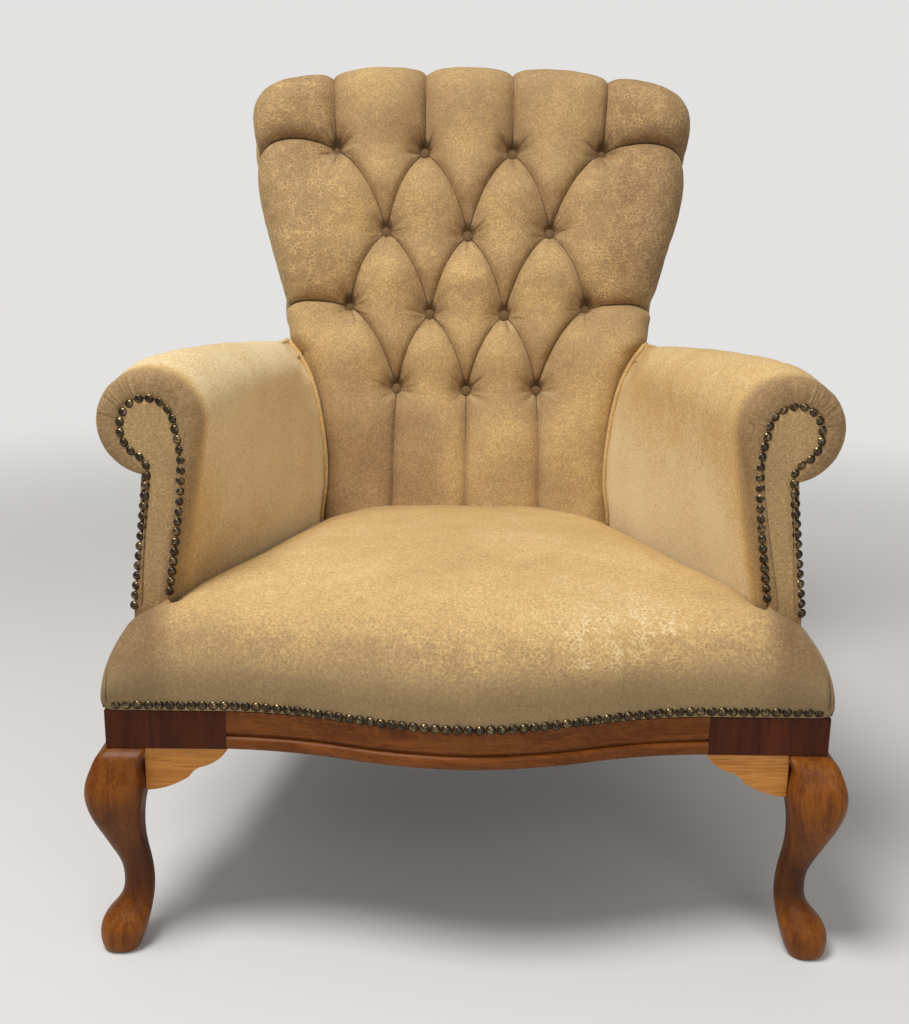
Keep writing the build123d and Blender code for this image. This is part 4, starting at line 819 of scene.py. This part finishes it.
def clear_of_back(net):
    """The arm ends at its piping beside the back, and its rear end stands aside of the back."""
    x, y, z = net[..., 0], net[..., 1], net[..., 2]
    pipe_x, pipe_y = read(PIPING, z, 0, 2), read(PIPING, z, 1, 2)
    beside = pipe_x + 3.2
    s = (z - BACK_Z - 60 * sin(RAKE)) / cos(RAKE)
    limit = np.maximum(read(BESIDE_ARM, s, 0, 1) + 2.0, beside)
    behind = y - pipe_y
    bend = beside + np.maximum(behind, 0) * 1.6
    share = step(-1, 0, behind / (45 + 115 * step(430, 520, z)))
    edge = np.where(behind > 0, np.minimum(bend, limit), x * (1 - share) + bend * share)
    edge = np.minimum(edge, SCROLL[-1][1] - 0.5)
    column = np.indices(x.shape)[1]
    inner = (column > 50) & (column < ARM_SIDES)
    return np.stack([x + (np.maximum(x, edge) - x) * inner, np.minimum(y, rear_y(z, 26)), z], -1)


# The seat

RAIL_TOP = 270
SEAT_HALF = 372       # half its width
INNER_HALF = 313      # where the arms begin
POST_HALF = 190       # where the back's posts begin
NOSE = (  # back from the front edge and height over the rail, for the middle and for the ends
    ((1.0, 0.6), (0.5, 0.6)), ((0.0, 7.0), (0.0, 7.0)), ((-2.0, 19.0), (-3.0, 19.0)),
    ((-4.5, 34.0), (-5.0, 34.0)), ((-3.0, 52.0), (-4.0, 50.0)), ((5.0, 72.0), (2.0, 68.0)),
    ((19.0, 88.0), (11.0, 83.0)), ((40.0, 101.0), (25.0, 93.0)), ((68.0, 111.0), (44.0, 99.0)),
    ((104.0, 119.0), (60.0, 101.5)),
)
CROWN = ((60, 119.5), (120, 125), (200, 124), (300, 118), (400, 110), (497, 102))
FALL = ((76, 27), (137, 31), (212, 38), (343, 37), (405, 34), (497, 28))
SHOULDER = (
    (0, 1.0), (250, 0.995), (280, 0.985), (298, 0.96), (314, 0.92), (325, 0.862), (335, 0.808),
    (344, 0.76), (351, 0.712), (358, 0.65), (364, 0.575), (368, 0.495), (371, 0.40), (372, 0.30),
)


def bow(x):
    """The front rail's curve forwards."""
    reach = np.minimum(np.abs(x), 245)
    return 21 * (1 + np.cos(pi * reach / 245))


def seat_back_y(x):
    x = abs(x)
    if x <= POST_HALF:
        return 500.0
    if x < INNER_HALF:
        return 72 + (x - 314) / (190 - 314) * 425 - 1.0
    return 78.2


def seat_section(x):
    """The seat's slice at x, from the rail over the nose and back to its hidden end."""
    middle = float(bow(x)) / 42
    end = seat_back_y(x)
    corner = max(0.0, abs(x) - 354)
    front = -float(bow(x)) + 13 * (1 - sqrt(max(0.0, 1 - (corner / 18.5) ** 2)))
    points = []
    for mid, side in NOSE:
        back = mid[0] * middle + side[0] * (1 - middle)
        rise = mid[1] * middle + side[1] * (1 - middle)
        points.append((front + back, rise))
    last_y, last_z = points[-1]
    for share in (0.14, 0.3, 0.48, 0.66, 0.82, 0.93, 0.985):
        y = last_y + (end - last_y) * share
        fall = float(read(FALL, y)) * min(1.0, abs(x) / inner_x(max(y, 72))) ** 5
        blend = min(1.0, share * 3)
        rise = last_z
        if abs(x) < INNER_HALF:
            rise = last_z * (1 - blend) + (float(read(CROWN, y)) - fall) * blend
        if abs(x) < POST_HALF:
            rise -= 9 * max(0.0, share - 0.8) / 0.2
        points.append((y, rise))
    rise = points[-1][1]
    points += [(end, rise - 16), (end, min(rise - 30, 40.0))]
    scale = float(read(SHOULDER, abs(x)))
    return [(x, y, RAIL_TOP + max(0.4, z * scale)) for y, z in points]


def seat_net():
    """The seat's skin from side to side, with a wall down to the rail at each end."""
    right = [0, 30, 60, 90, 120, 150, 175, 189, 205, 225, 245, 265, 285, 300, 311, 318, 327, 336,
             344, 351, 357, 362, 366, 369, 371, SEAT_HALF]
    xs = [-x for x in right[:0:-1]] + right
    net = spline([seat_section(x) for x in xs], 340)
    net = np.swapaxes(spline(np.swapaxes(net, 0, 1), 190), 0, 1)
    walls = net[[0, -1]] * [370 / SEAT_HALF, 1, 0] + [0, 0, RAIL_TOP + 0.4]
    return np.concatenate([walls[:1], net, walls[1:]])


def seat_details(net):
    """Uneven padding, corner pleats and the pulls over the rail, the velvet's wear, and its painted
    light and shade.
    """
    x, y, z = net[..., 0], net[..., 1], net[..., 2]
    side = np.abs(x)
    soft = 1.1 * ripple(x, y, 31, 130) * step(290, 330, z)
    low_front = (y < 24) * step(272, 282, z)
    pleat = bell(side - 364.5, 1.5) * low_front * (1 - step(300, 330, z))
    tuck = bell(side - 359, 4.5) * low_front * (1 - step(292, 322, z))
    pulls = 0.4 * np.sin(x / 5.2 + 1.3 * np.sin(x / 47)) * (1 - step(276, 290, z))
    height = soft + pulls * ((y < 60) & (z > 272)) - 1.8 * pleat + 1.2 * tuck
    band = window(z, 305, 332, 356, 382) * (y < 80)
    patch = bell(x - 140, 95) * window(z, 322, 338, 362, 380) * (y < 90)
    worn = np.clip(band * (0.45 + 0.2 * ripple(x, z, 39, 130)) + 0.7 * patch, 0, 1)
    # painted shade: the front below the nose, which the velvet mixes towards a darker grey
    shade = (1 - step(296, 350, z)) * (y < 60)
    # painted light: the up-facing top is lighter
    top = step(345, 385, z)
    # painted shade: the ends of the seat below the top are darker
    painted_wing_shade = step(285, 338, side) * (1 - top)
    # the top is painted light and the ends painted shade; band and patch add wear
    brushed_and_painted_light = 0.38 + 0.33 * top + 0.06 * band + 0.14 * patch - 0.52 * painted_wing_shade
    brushed_and_painted_light = np.clip(brushed_and_painted_light + 0.035 * ripple(x, y, 37, 190), 0, 1)
    # painted shade down the corner pleats
    return height, {"crease": 0.8 * pleat, "worn": worn, "shade": shade, "brushed_and_painted_light": brushed_and_painted_light}


# Sizes and colours that a user would change

def colour_value(name, description, default):
    return bpy.props.FloatVectorProperty(
        name=name, description=description, subtype="COLOR_GAMMA", size=3, min=0, max=1,
        default=screen(default))


def number(name, description, default, **limits):
    return bpy.props.FloatProperty(name=name, description=description, default=default, **limits)


class VelvetColours(bpy.types.PropertyGroup):
    # deep to pale are the stops of the tone ramp; the value that picks them carries painted light
    # and shade as well as nap
    deep: colour_value("Deep", "Velvet whose pile leans away from the light", "#87694A")
    gold: colour_value("Gold", "Velvet seen straight on", "#AF9065")
    light: colour_value("Light", "Velvet whose pile leans to the light", "#D4B075")
    pale: colour_value("Brushed", "Velvet that is brushed pale", "#EAD6AC")
    # painted shade colour for creases, pleats and gathers
    fold_shade: colour_value("Fold", "Velvet at the bottom of a pleat", "#402E18")
    # painted shade colour for the seat front below its nose
    front_shade: colour_value("Shaded", "Velvet on the front of the seat", "#94805F")


class UpholsterySizes(bpy.types.PropertyGroup):
    button: number("Button", "Radius of a covered button", 0.0085, unit="LENGTH")
    welt: number("Piping", "Radius of the piping beside the back", 0.0033, unit="LENGTH")
    cloth: number("Cloth", "Thickness of the hessian and the dust cloth", 0.0008, unit="LENGTH")


class StageValues(bpy.types.PropertyGroup):
    floor: colour_value("Floor", "Colour of the floor and the backdrop", "#E2E1DF")
    key: number("Key light", "Strength of the wide light overhead", 70.0, unit="POWER")
    fill: number("Fill light", "Strength of the light in front", 13.0, unit="POWER")
    sky: number("Room light", "Even light from all round", 0.31, min=0)


# Operators

class CHAIR_OT_back(bpy.types.Operator):
    """Makes the deep buttoned back"""

    bl_idname = "chair.back"
    bl_label = "Buttoned back"

    def execute(self, context):
        net, values = back_net(381, 421)
        piece = laid_grid("back_upholstery", net, values)
        close_up(piece)
        upholstered(piece, "velvet_back", ("back_cover", "back_padding"))
        return {"FINISHED"}


class CHAIR_OT_buttons(bpy.types.Operator):
    """Makes one covered button and sets copies in the rows"""

    bl_idname = "chair.buttons"
    bl_label = "Back buttons"

    def execute(self, context):
        axes = (1, 0, 0), (0, sin(RAKE), cos(RAKE)), (0, -cos(RAKE), sin(RAKE))
        turn = Matrix(axes).transposed().to_4x4()
        made = []
        for x, s in button_places():
            deselect()
            bpy.ops.mesh.primitive_uv_sphere_add(
                segments=28, ring_count=14, radius=context.scene.chair_sizes.button)
            button = bpy.context.active_object
            edit(button)
            bpy.ops.transform.resize(value=(1, 1, 0.52), center_override=(0, 0, 0))
            done()
            made.append(button)
            middle = Vector(to_frame(raked(np.array(float(x)), float(s), BUTTON_N)))
            button.matrix_world = Matrix.Translation(middle) @ turn
        only(made[0])
        for button in made:
            button.select_set(True)
        bpy.ops.object.join()
        bpy.ops.object.transform_apply()
        piece = named("covered_buttons")
        close_up(piece, 0.000001)
        # painted shade: the buttons are made dark, as if sunk in shadow in their pits
        set_value(piece, "brushed_and_painted_light", 0.05)
        set_value(piece, "crease", 0.62)
        upholstered(piece, "velvet_back", ("back_buttons",))
        return {"FINISHED"}


class CHAIR_OT_arms(bpy.types.Operator):
    """Makes both scroll arms with their gathered fronts"""

    bl_idname = "chair.arms"
    bl_label = "Scroll arms"

    def execute(self, context):
        net = arm_net()
        height, folds, scroll = arm_details(net)
        shaped = clear_of_back(pushed(net, height))
        x, y, z = net[..., 0], net[..., 1], net[..., 2]
        row, column = np.indices(x.shape)
        # painted shade in the troughs of the gathers and along the first row at the nail line
        crease = np.maximum(np.clip(-folds, 0, 1) ** 3 * 0.30, 0.55 * bell(row, 1.2))
        inside = step(92, 132, column)
        top = step(30, 60, column)
        front = 1 - step(78, 120, y)
        rear = step(90, 330, y)
        round_it = np.mod(np.arctan2(z - 549, x - 330) + pi / 2, 2 * pi)
        over = bell(round_it - 2.55, 0.85)
        # where the velvet paints shade and highlights along the gathers, most on the scroll's upper
        # outer curve
        folded = window(row, 0.5, 3, 7, 16) * scroll * (0.30 + 0.55 * over)
        # painted light on the tops and painted shade on the fronts, over a slow random tone
        brushed_and_painted_light = 0.50 + 0.07 * ripple(y, z + x, 41, 170) + 0.30 * top * (1 - front)
        # painted light on the inside towards the rear
        brushed_and_painted_light += inside * (0.22 * rear - 0.10) - 0.26 * front * (1 - 0.6 * inside)
        # painted shade where the inside turns to face the front, and low on the inside
        brushed_and_painted_light -= 0.20 * inside * bell(y - 135, 55) * bell(z - 470, 60)
        brushed_and_painted_light -= 0.13 * inside * bell(y - 260, 110) * bell(z - 370, 50)
        # painted light that differs by arm: the right inside much paler, the left top and rear
        # inside a little paler
        pale = {"left": 0.14 * top * (1 - front) * (1 - 0.5 * inside) + 0.10 * inside * rear,
                "right": 0.36 * inside * (1 - front) - 0.06 * top * (1 - inside)}
        for side, sign in SIDES.items():
            values = {"crease": crease, "brushed_and_painted_light": np.clip(brushed_and_painted_light + pale[side], 0, 1),
                      "fold_x": round_it * 10.5, "fold_y": row * 0.02, "folded": folded}
            piece = laid_grid(f"arm_upholstery_{side}", shaped * [sign, 1, 1], values)
            close_up(piece)
            upholstered(piece, "velvet_arm", (f"arm_cover_{side}", f"arm_padding_{side}"))
        return {"FINISHED"}


class CHAIR_OT_facings(bpy.types.Operator):
    """Makes the covered panels inside the nail lines on the arm fronts"""

    bl_idname = "chair.facings"
    bl_label = "Arm facings"

    def execute(self, context):
        line = np.array(NAIL_LINE, float)
        top = int(np.argmax(line[:, 1]))
        outer = np.concatenate([[(357, 271)], line[: top + 1]])
        inner = np.concatenate([line[top:], [(318.5, 271)]])[::-1]
        rows, columns = 150, 40
        z = 271 + (line[top, 1] - 0.5 - 271) * (1 - (1 - np.linspace(0, 1, rows)) ** 1.25)
        x0, x1 = (
            np.interp(z, np.maximum.accumulate(way[:, 1] + np.arange(len(way)) * 1e-6), way[:, 0])
            for way in (inner, outer))
        x = x0[:, None] + (x1 - x0)[:, None] * np.linspace(0, 1, columns)[None, :]
        z = z[:, None] + 0 * x
        rim = np.minimum(np.minimum(x - x0[:, None], x1[:, None] - x), line[top, 1] - z)
        crown = (1.6 * step(0, 9, rim) + 0.25 * ripple(x, z, 51, 40)) * step(343, 354, z)
        net = np.stack([x, FACE_Y - 0.2 - crown, z], -1)
        # painted shade: the crease value darkens the rim of the panel just inside the nails
        values = {"crease": 0.6 * (1 - step(0, 5, rim)),
                  "brushed_and_painted_light": 0.40 + 0.06 * ripple(x, z, 53, 90)}
        for side, sign in SIDES.items():
            piece = laid_grid(f"arm_facing_cover_{side}", net * [sign, 1, 1], values)
            edit(piece)
            bpy.ops.mesh.remove_doubles(threshold=0.00002)
            done()
            modified(piece, "SOLIDIFY", thickness=0.0016 * sign, offset=-1.0)
            close_up(piece, 0.00001)
            upholstered(piece, "velvet_arm", (f"arm_facing_{side}",))
        return {"FINISHED"}


class CHAIR_OT_piping(bpy.types.Operator):
    """Lays the piping up the inside of each arm beside the back"""

    bl_idname = "chair.piping"
    bl_label = "Piping"

    def execute(self, context):
        for side, sign in SIDES.items():
            deselect()
            bpy.ops.curve.primitive_nurbs_path_add()
            curve = bpy.context.active_object
            path = curve.data.splines[0]
            path.points.add(len(PIPING) - len(path.points))
            for point, (x, y, z) in zip(path.points, PIPING):
                point.co = (*to_frame(((x + 0.5) * sign, y - 1, z)), 1)
            path.order_u = 3
            path.use_endpoint_u = True
            curve.data.bevel_depth = context.scene.chair_sizes.welt
            curve.data.bevel_resolution = 4
            curve.data.use_fill_caps = True
            bpy.ops.object.convert(target="MESH")
            piece = named(f"arm_piping_{side}")
            close_up(piece, 0.000001)
            set_value(piece, "brushed_and_painted_light", 0.66)
            placed(piece, "velvet_arm", "cover_fabric", f"arm_welt_{side}")
        return {"FINISHED"}


class CHAIR_OT_seat(bpy.types.Operator):
    """Makes the sprung seat with its rolled front and square front corners"""

    bl_idname = "chair.seat"
    bl_label = "Sprung seat"

    def execute(self, context):
        net = seat_net()
        height, values = seat_details(net)
        piece = laid_grid("seat_upholstery", pushed(net, -height), values)
        close_up(piece, 0.0001)
        upholstered(piece, "velvet_seat", ("seat_cover", "seat_padding"))
        return {"FINISHED"}


class CHAIR_OT_outsides(bpy.types.Operator):
    """Covers the outsides of the arms"""

    bl_idname = "chair.outsides"
    bl_label = "Outside panels"

    def execute(self, context):
        rows, columns = 60, 90
        first, low = FACE_Y + 3.5, 232.0
        v = np.linspace(0, 1, rows)[:, None]
        u = np.linspace(0, 1, columns)[None, :]
        necks = np.array([arm_neck(y) for y in first + (BACK_Y - first) * u[0]])[None, :]
        z = low + (necks - low) * v
        y = first + (rear_y(z, 27) - first) * u
        puff = 1.1 * (np.sin(pi * np.clip(u, 0, 1)) * np.sin(pi * v)) ** 0.4
        x = np.vectorize(side_x)(y, z) - 1.4 + puff
        # the crease value is painted shade along the panel's top and bottom edges
        values = {"brushed_and_painted_light": 0.42 + 0.08 * ripple(y, z, 61, 190),
                  "crease": 0.35 * (1 - step(0, 0.02, np.minimum(v, 1 - v) + 0 * u))}
        for side, sign in SIDES.items():
            net = np.stack([x * sign, y, z], -1)
            piece = laid_grid(f"outside_arm_cover_{side}", net, values)
            modified(piece, "SOLIDIFY", thickness=0.0018 * sign, offset=1.0)
            close_up(piece, 0.00001)
            upholstered(piece, "velvet_arm", (f"outside_arm_panel_{side}",))
        return {"FINISHED"}


class CHAIR_OT_outside_back(bpy.types.Operator):
    """Covers the rear of the back in one stretched panel"""

    bl_idname = "chair.outside_back"
    bl_label = "Outside back"

    def execute(self, context):
        piece = solid_copy("outside_back", "outside_back_cover")
        x, y, z = get_points(piece).T / MM
        ear = (np.abs(x) > 205) & (z > 495) & (z < 600)
        _, scroll_x, scroll_z, radius = SCROLL[-1]
        smaller = (radius + 0.4) / 42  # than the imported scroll, whose middle is at 252 and 545
        new_z = np.where(ear, scroll_z + (z - 545) * smaller, z)
        new_x = np.where(ear, np.sign(x) * (scroll_x + (np.abs(x) - 252) * smaller), x)
        set_points(piece, np.stack([new_x, y + (new_z - z) * np.tan(RAKE), new_z], -1) * MM)
        soften(piece, 0.0012, 3)
        set_value(piece, "brushed_and_painted_light", 0.42)
        upholstered(piece, "velvet_arm", ("outside_back",))
        return {"FINISHED"}


HESSIAN = ((34.0, 258.0), (493.0, 186.0))  # along the chair, half width
DUST_CLOTH = ((22.0, 242.3), (123.0, 242.3), (123.0, 302.4), (522.1, 250.5), (522.1, 214.7),
              (551.7, 214.7))


class CHAIR_OT_cloths(bpy.types.Operator):
    """Stretches the hessian over the springs and the dust cloth under the frame"""

    bl_idname = "chair.cloths"
    bl_label = "Inside cloths"

    def execute(self, context):
        thick = context.scene.chair_sizes.cloth
        u = np.linspace(-1, 1, 41)[None, :]
        for name, places, level, sag, key, slot, node, flat, area in (
            ("spring_hessian", HESSIAN, 275.9, 0.0, "hessian", "webbing", "seat_hessian",
             (0.516, 0.459), 0.2038),
            ("dust_cloth", DUST_CLOTH, 228.3, 3.0, "cambric", "dust_cloth", "dust_cover",
             (0.605, 0.530), 0.2823),
        ):
            rows = np.array(places, float)
            steps = [evenly(pair, 2 if pair[0][0] == pair[1][0] else 14)
                     for pair in zip(rows, rows[1:])]
            side = np.concatenate([part[:-1] for part in steps] + [rows[-1:]])
            y = side[:, :1] + 0 * u
            first, last = rows[0, 0], rows[-1, 0]
            free = step(first, first + 150, y) * (1 - step(last - 150, last, y))
            z = level - sag * (1 - u**2) * free
            piece = laid_grid(name, np.stack([side[:, 1:] * u, y, z], -1))
            modified(piece, "SOLIDIFY", thickness=thick, offset=0.0)
            placed(piece, key, slot, node)
        return {"FINISHED"}


class CHAIR_OT_webbing(bpy.types.Operator):
    """Weaves the jute straps inside the back, those across behind those up it"""

    bl_idname = "chair.webbing"
    bl_label = "Back webbing"

    def execute(self, context):
        piece = solid_copy("back_webbing", "jute_webbing")
        soften(piece, 0.0004, 2)
        placed(piece, "jute", "webbing", "back_webbing")
        return {"FINISHED"}


FRAME_FINISHES = {
    ("front_leg_",): "leg_walnut",
    ("knee_block_",): "ear_honey",
    ("corner_block_",): "block_walnut",
    ("front_rail",): "rail_honey",
    ("side_rail_",): "side_walnut",
    ("rear_leg_and_post_",): "post_walnut",
    ("inner_front_rail", "back_rail", "back_crest_rail", "back_lower_rail", "corner_braces",
     "frame_dowels", "arm_front_board_", "arm_top_rail_", "arm_tacking_rail_"): "beech",
    ("seat_springs", "spring_clips"): "steel",
    ("rail_nails", "facing_nails_"): "nails",
}


class CHAIR_OT_finishes(bpy.types.Operator):
    """Finishes the show wood, the inside frame, the nails and the springs"""

    bl_idname = "chair.finishes"
    bl_label = "Frame finishes"

    def execute(self, context):
        for names, key in FRAME_FINISHES.items():
            for name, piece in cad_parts.items():
                if name.startswith(names):
                    for slot in piece.material_slots:
                        slot.material = finish(key)
        return {"FINISHED"}

BACKDROP = "#E3E2E1"
FLOOR_REACH, FLOOR_Z = 40, -0.0005
LENS = 42.1875
EYE = (-21.45, -1124.9, 769.0)
TURN, TILT, ROLL = radians(0.25), radians(14.34), radians(0.79)


def lay_floor(colour):
    """A wide floor that keeps the shadow and fades into the backdrop before the camera."""
    deselect()
    bpy.ops.mesh.primitive_plane_add(size=1)
    floor = named("studio_floor")
    ends = (-FLOOR_REACH, FLOOR_REACH)
    set_points(floor, [(x, y, FLOOR_Z) for y in ends for x in ends])
    f = Finish("studio_floor")
    pale = f.mix(f.noise(3.0, 2) * 0.04, linear(colour), linear("#CFCECC"))
    f.set(Base_Color=pale, Roughness=0.85, Specular_IOR_Level=0.1)
    plain = f.node("Emission", {"Color": linear(BACKDROP), "Strength": 1.0})
    away = f.node("VectorMath", {0: f.place}, 1, operation="LENGTH")
    far = f.between(away, 1.0, 3.2) * f.node("LightPath")
    mixed = f.node("MixShader", {0: far, 1: Strand(f, f.shader.outputs[0]), 2: plain})
    f.feed(f.tree.nodes["Material Output"].inputs["Surface"], mixed)
    dressed(floor, f.material)


def fill_room(strength):
    """Even light from all round, behind which the camera sees the backdrop."""
    world = bpy.data.worlds.new("studio_air")
    bpy.context.scene.world = world
    world.use_nodes = True
    air = world.node_tree
    air.nodes.clear()
    sources = [air.nodes.new("ShaderNodeLightPath").outputs["Is Camera Ray"]]
    for colour, power in (((1.0, 0.99, 0.975, 1), strength), (linear(BACKDROP), 1.0)):
        node = air.nodes.new("ShaderNodeBackground")
        node.inputs[0].default_value = colour
        node.inputs[1].default_value = power
        sources.append(node.outputs[0])
    either = air.nodes.new("ShaderNodeMixShader")
    for source, socket in zip(sources, either.inputs):
        air.links.new(source, socket)
    air.links.new(either.outputs[0], air.nodes.new("ShaderNodeOutputWorld").inputs[0])


def hang_light(name, place, size, power):
    deselect()
    bpy.ops.object.light_add(type="AREA", location=place)
    lamp = bpy.context.active_object
    lamp.name = name
    lamp.data.shape = "DISK"
    lamp.data.size = size
    lamp.data.energy = power
    aim = Vector((0, 0, 0.5)) - Vector(place)
    lamp.rotation_euler = aim.to_track_quat("-Z", "Y").to_euler()


def set_camera():
    """The camera that the photo was solved to."""
    camera = bpy.data.cameras.new("photo_camera")
    camera.lens = LENS
    camera.sensor_width = 36.0
    camera.clip_end = 100
    eye = bpy.data.objects.new("photo_camera", camera)
    bpy.context.scene.collection.objects.link(eye)
    ahead = Vector((sin(TURN) * cos(TILT), cos(TURN) * cos(TILT), -sin(TILT)))
    level = Vector((cos(TURN), -sin(TURN), 0))
    up = level.cross(ahead)
    axes = level * cos(ROLL) + up * sin(ROLL), up * cos(ROLL) - level * sin(ROLL), -ahead
    eye.matrix_world = Matrix.Translation(to_frame(EYE)) @ Matrix(axes).transposed().to_4x4()
    bpy.context.scene.camera = eye


class CHAIR_OT_stage(bpy.types.Operator):
    """Sets the floor, the lights and the camera"""

    bl_idname = "chair.stage"
    bl_label = "Stage"

    def execute(self, context):
        values = context.scene.chair_stage
        lay_floor(tuple(values.floor))
        fill_room(values.sky)
        hang_light("key_light", (-0.8, -1.0, 3.0), 1.2, values.key)
        hang_light("fill_light", (0.9, -2.6, 1.5), 1.6, values.fill)
        set_camera()
        context.scene.view_settings.view_transform = "Standard"
        return {"FINISHED"}


class CHAIR_PT_panel(bpy.types.Panel):
    """Lists the chair's pieces in the order in which they are made"""

    bl_label = "Buttoned armchair"
    bl_idname = "CHAIR_PT_panel"
    bl_space_type = "VIEW_3D"
    bl_region_type = "UI"
    bl_category = "Armchair"

    def draw(self, context):
        for operator in OPERATORS:
            self.layout.operator(operator.bl_idname)
        scene = context.scene
        for group in (scene.chair_velvet, scene.chair_sizes, scene.chair_stage):
            box = self.layout.box()
            for name in group.bl_rna.properties.keys():
                if name not in {"rna_type", "name"}:
                    box.prop(group, name)


OPERATORS = (CHAIR_OT_stage, CHAIR_OT_finishes, CHAIR_OT_back, CHAIR_OT_buttons, CHAIR_OT_arms,
             CHAIR_OT_facings, CHAIR_OT_piping, CHAIR_OT_seat, CHAIR_OT_outsides,
             CHAIR_OT_outside_back, CHAIR_OT_cloths, CHAIR_OT_webbing)
CLASSES = (VelvetColours, UpholsterySizes, StageValues, *OPERATORS, CHAIR_PT_panel)


def register():
    for entry in CLASSES:
        bpy.utils.register_class(entry)
    bpy.types.Scene.chair_velvet = bpy.props.PointerProperty(type=VelvetColours)
    bpy.types.Scene.chair_sizes = bpy.props.PointerProperty(type=UpholsterySizes)
    bpy.types.Scene.chair_stage = bpy.props.PointerProperty(type=StageValues)


def unregister():
    del bpy.types.Scene.chair_velvet, bpy.types.Scene.chair_sizes, bpy.types.Scene.chair_stage
    for entry in reversed(CLASSES):
        bpy.utils.unregister_class(entry)


def main():
    register()
    for operator in OPERATORS:
        group, name = operator.bl_idname.split(".")
        getattr(getattr(bpy.ops, group), name)()


if __name__ == "__main__":
    main()
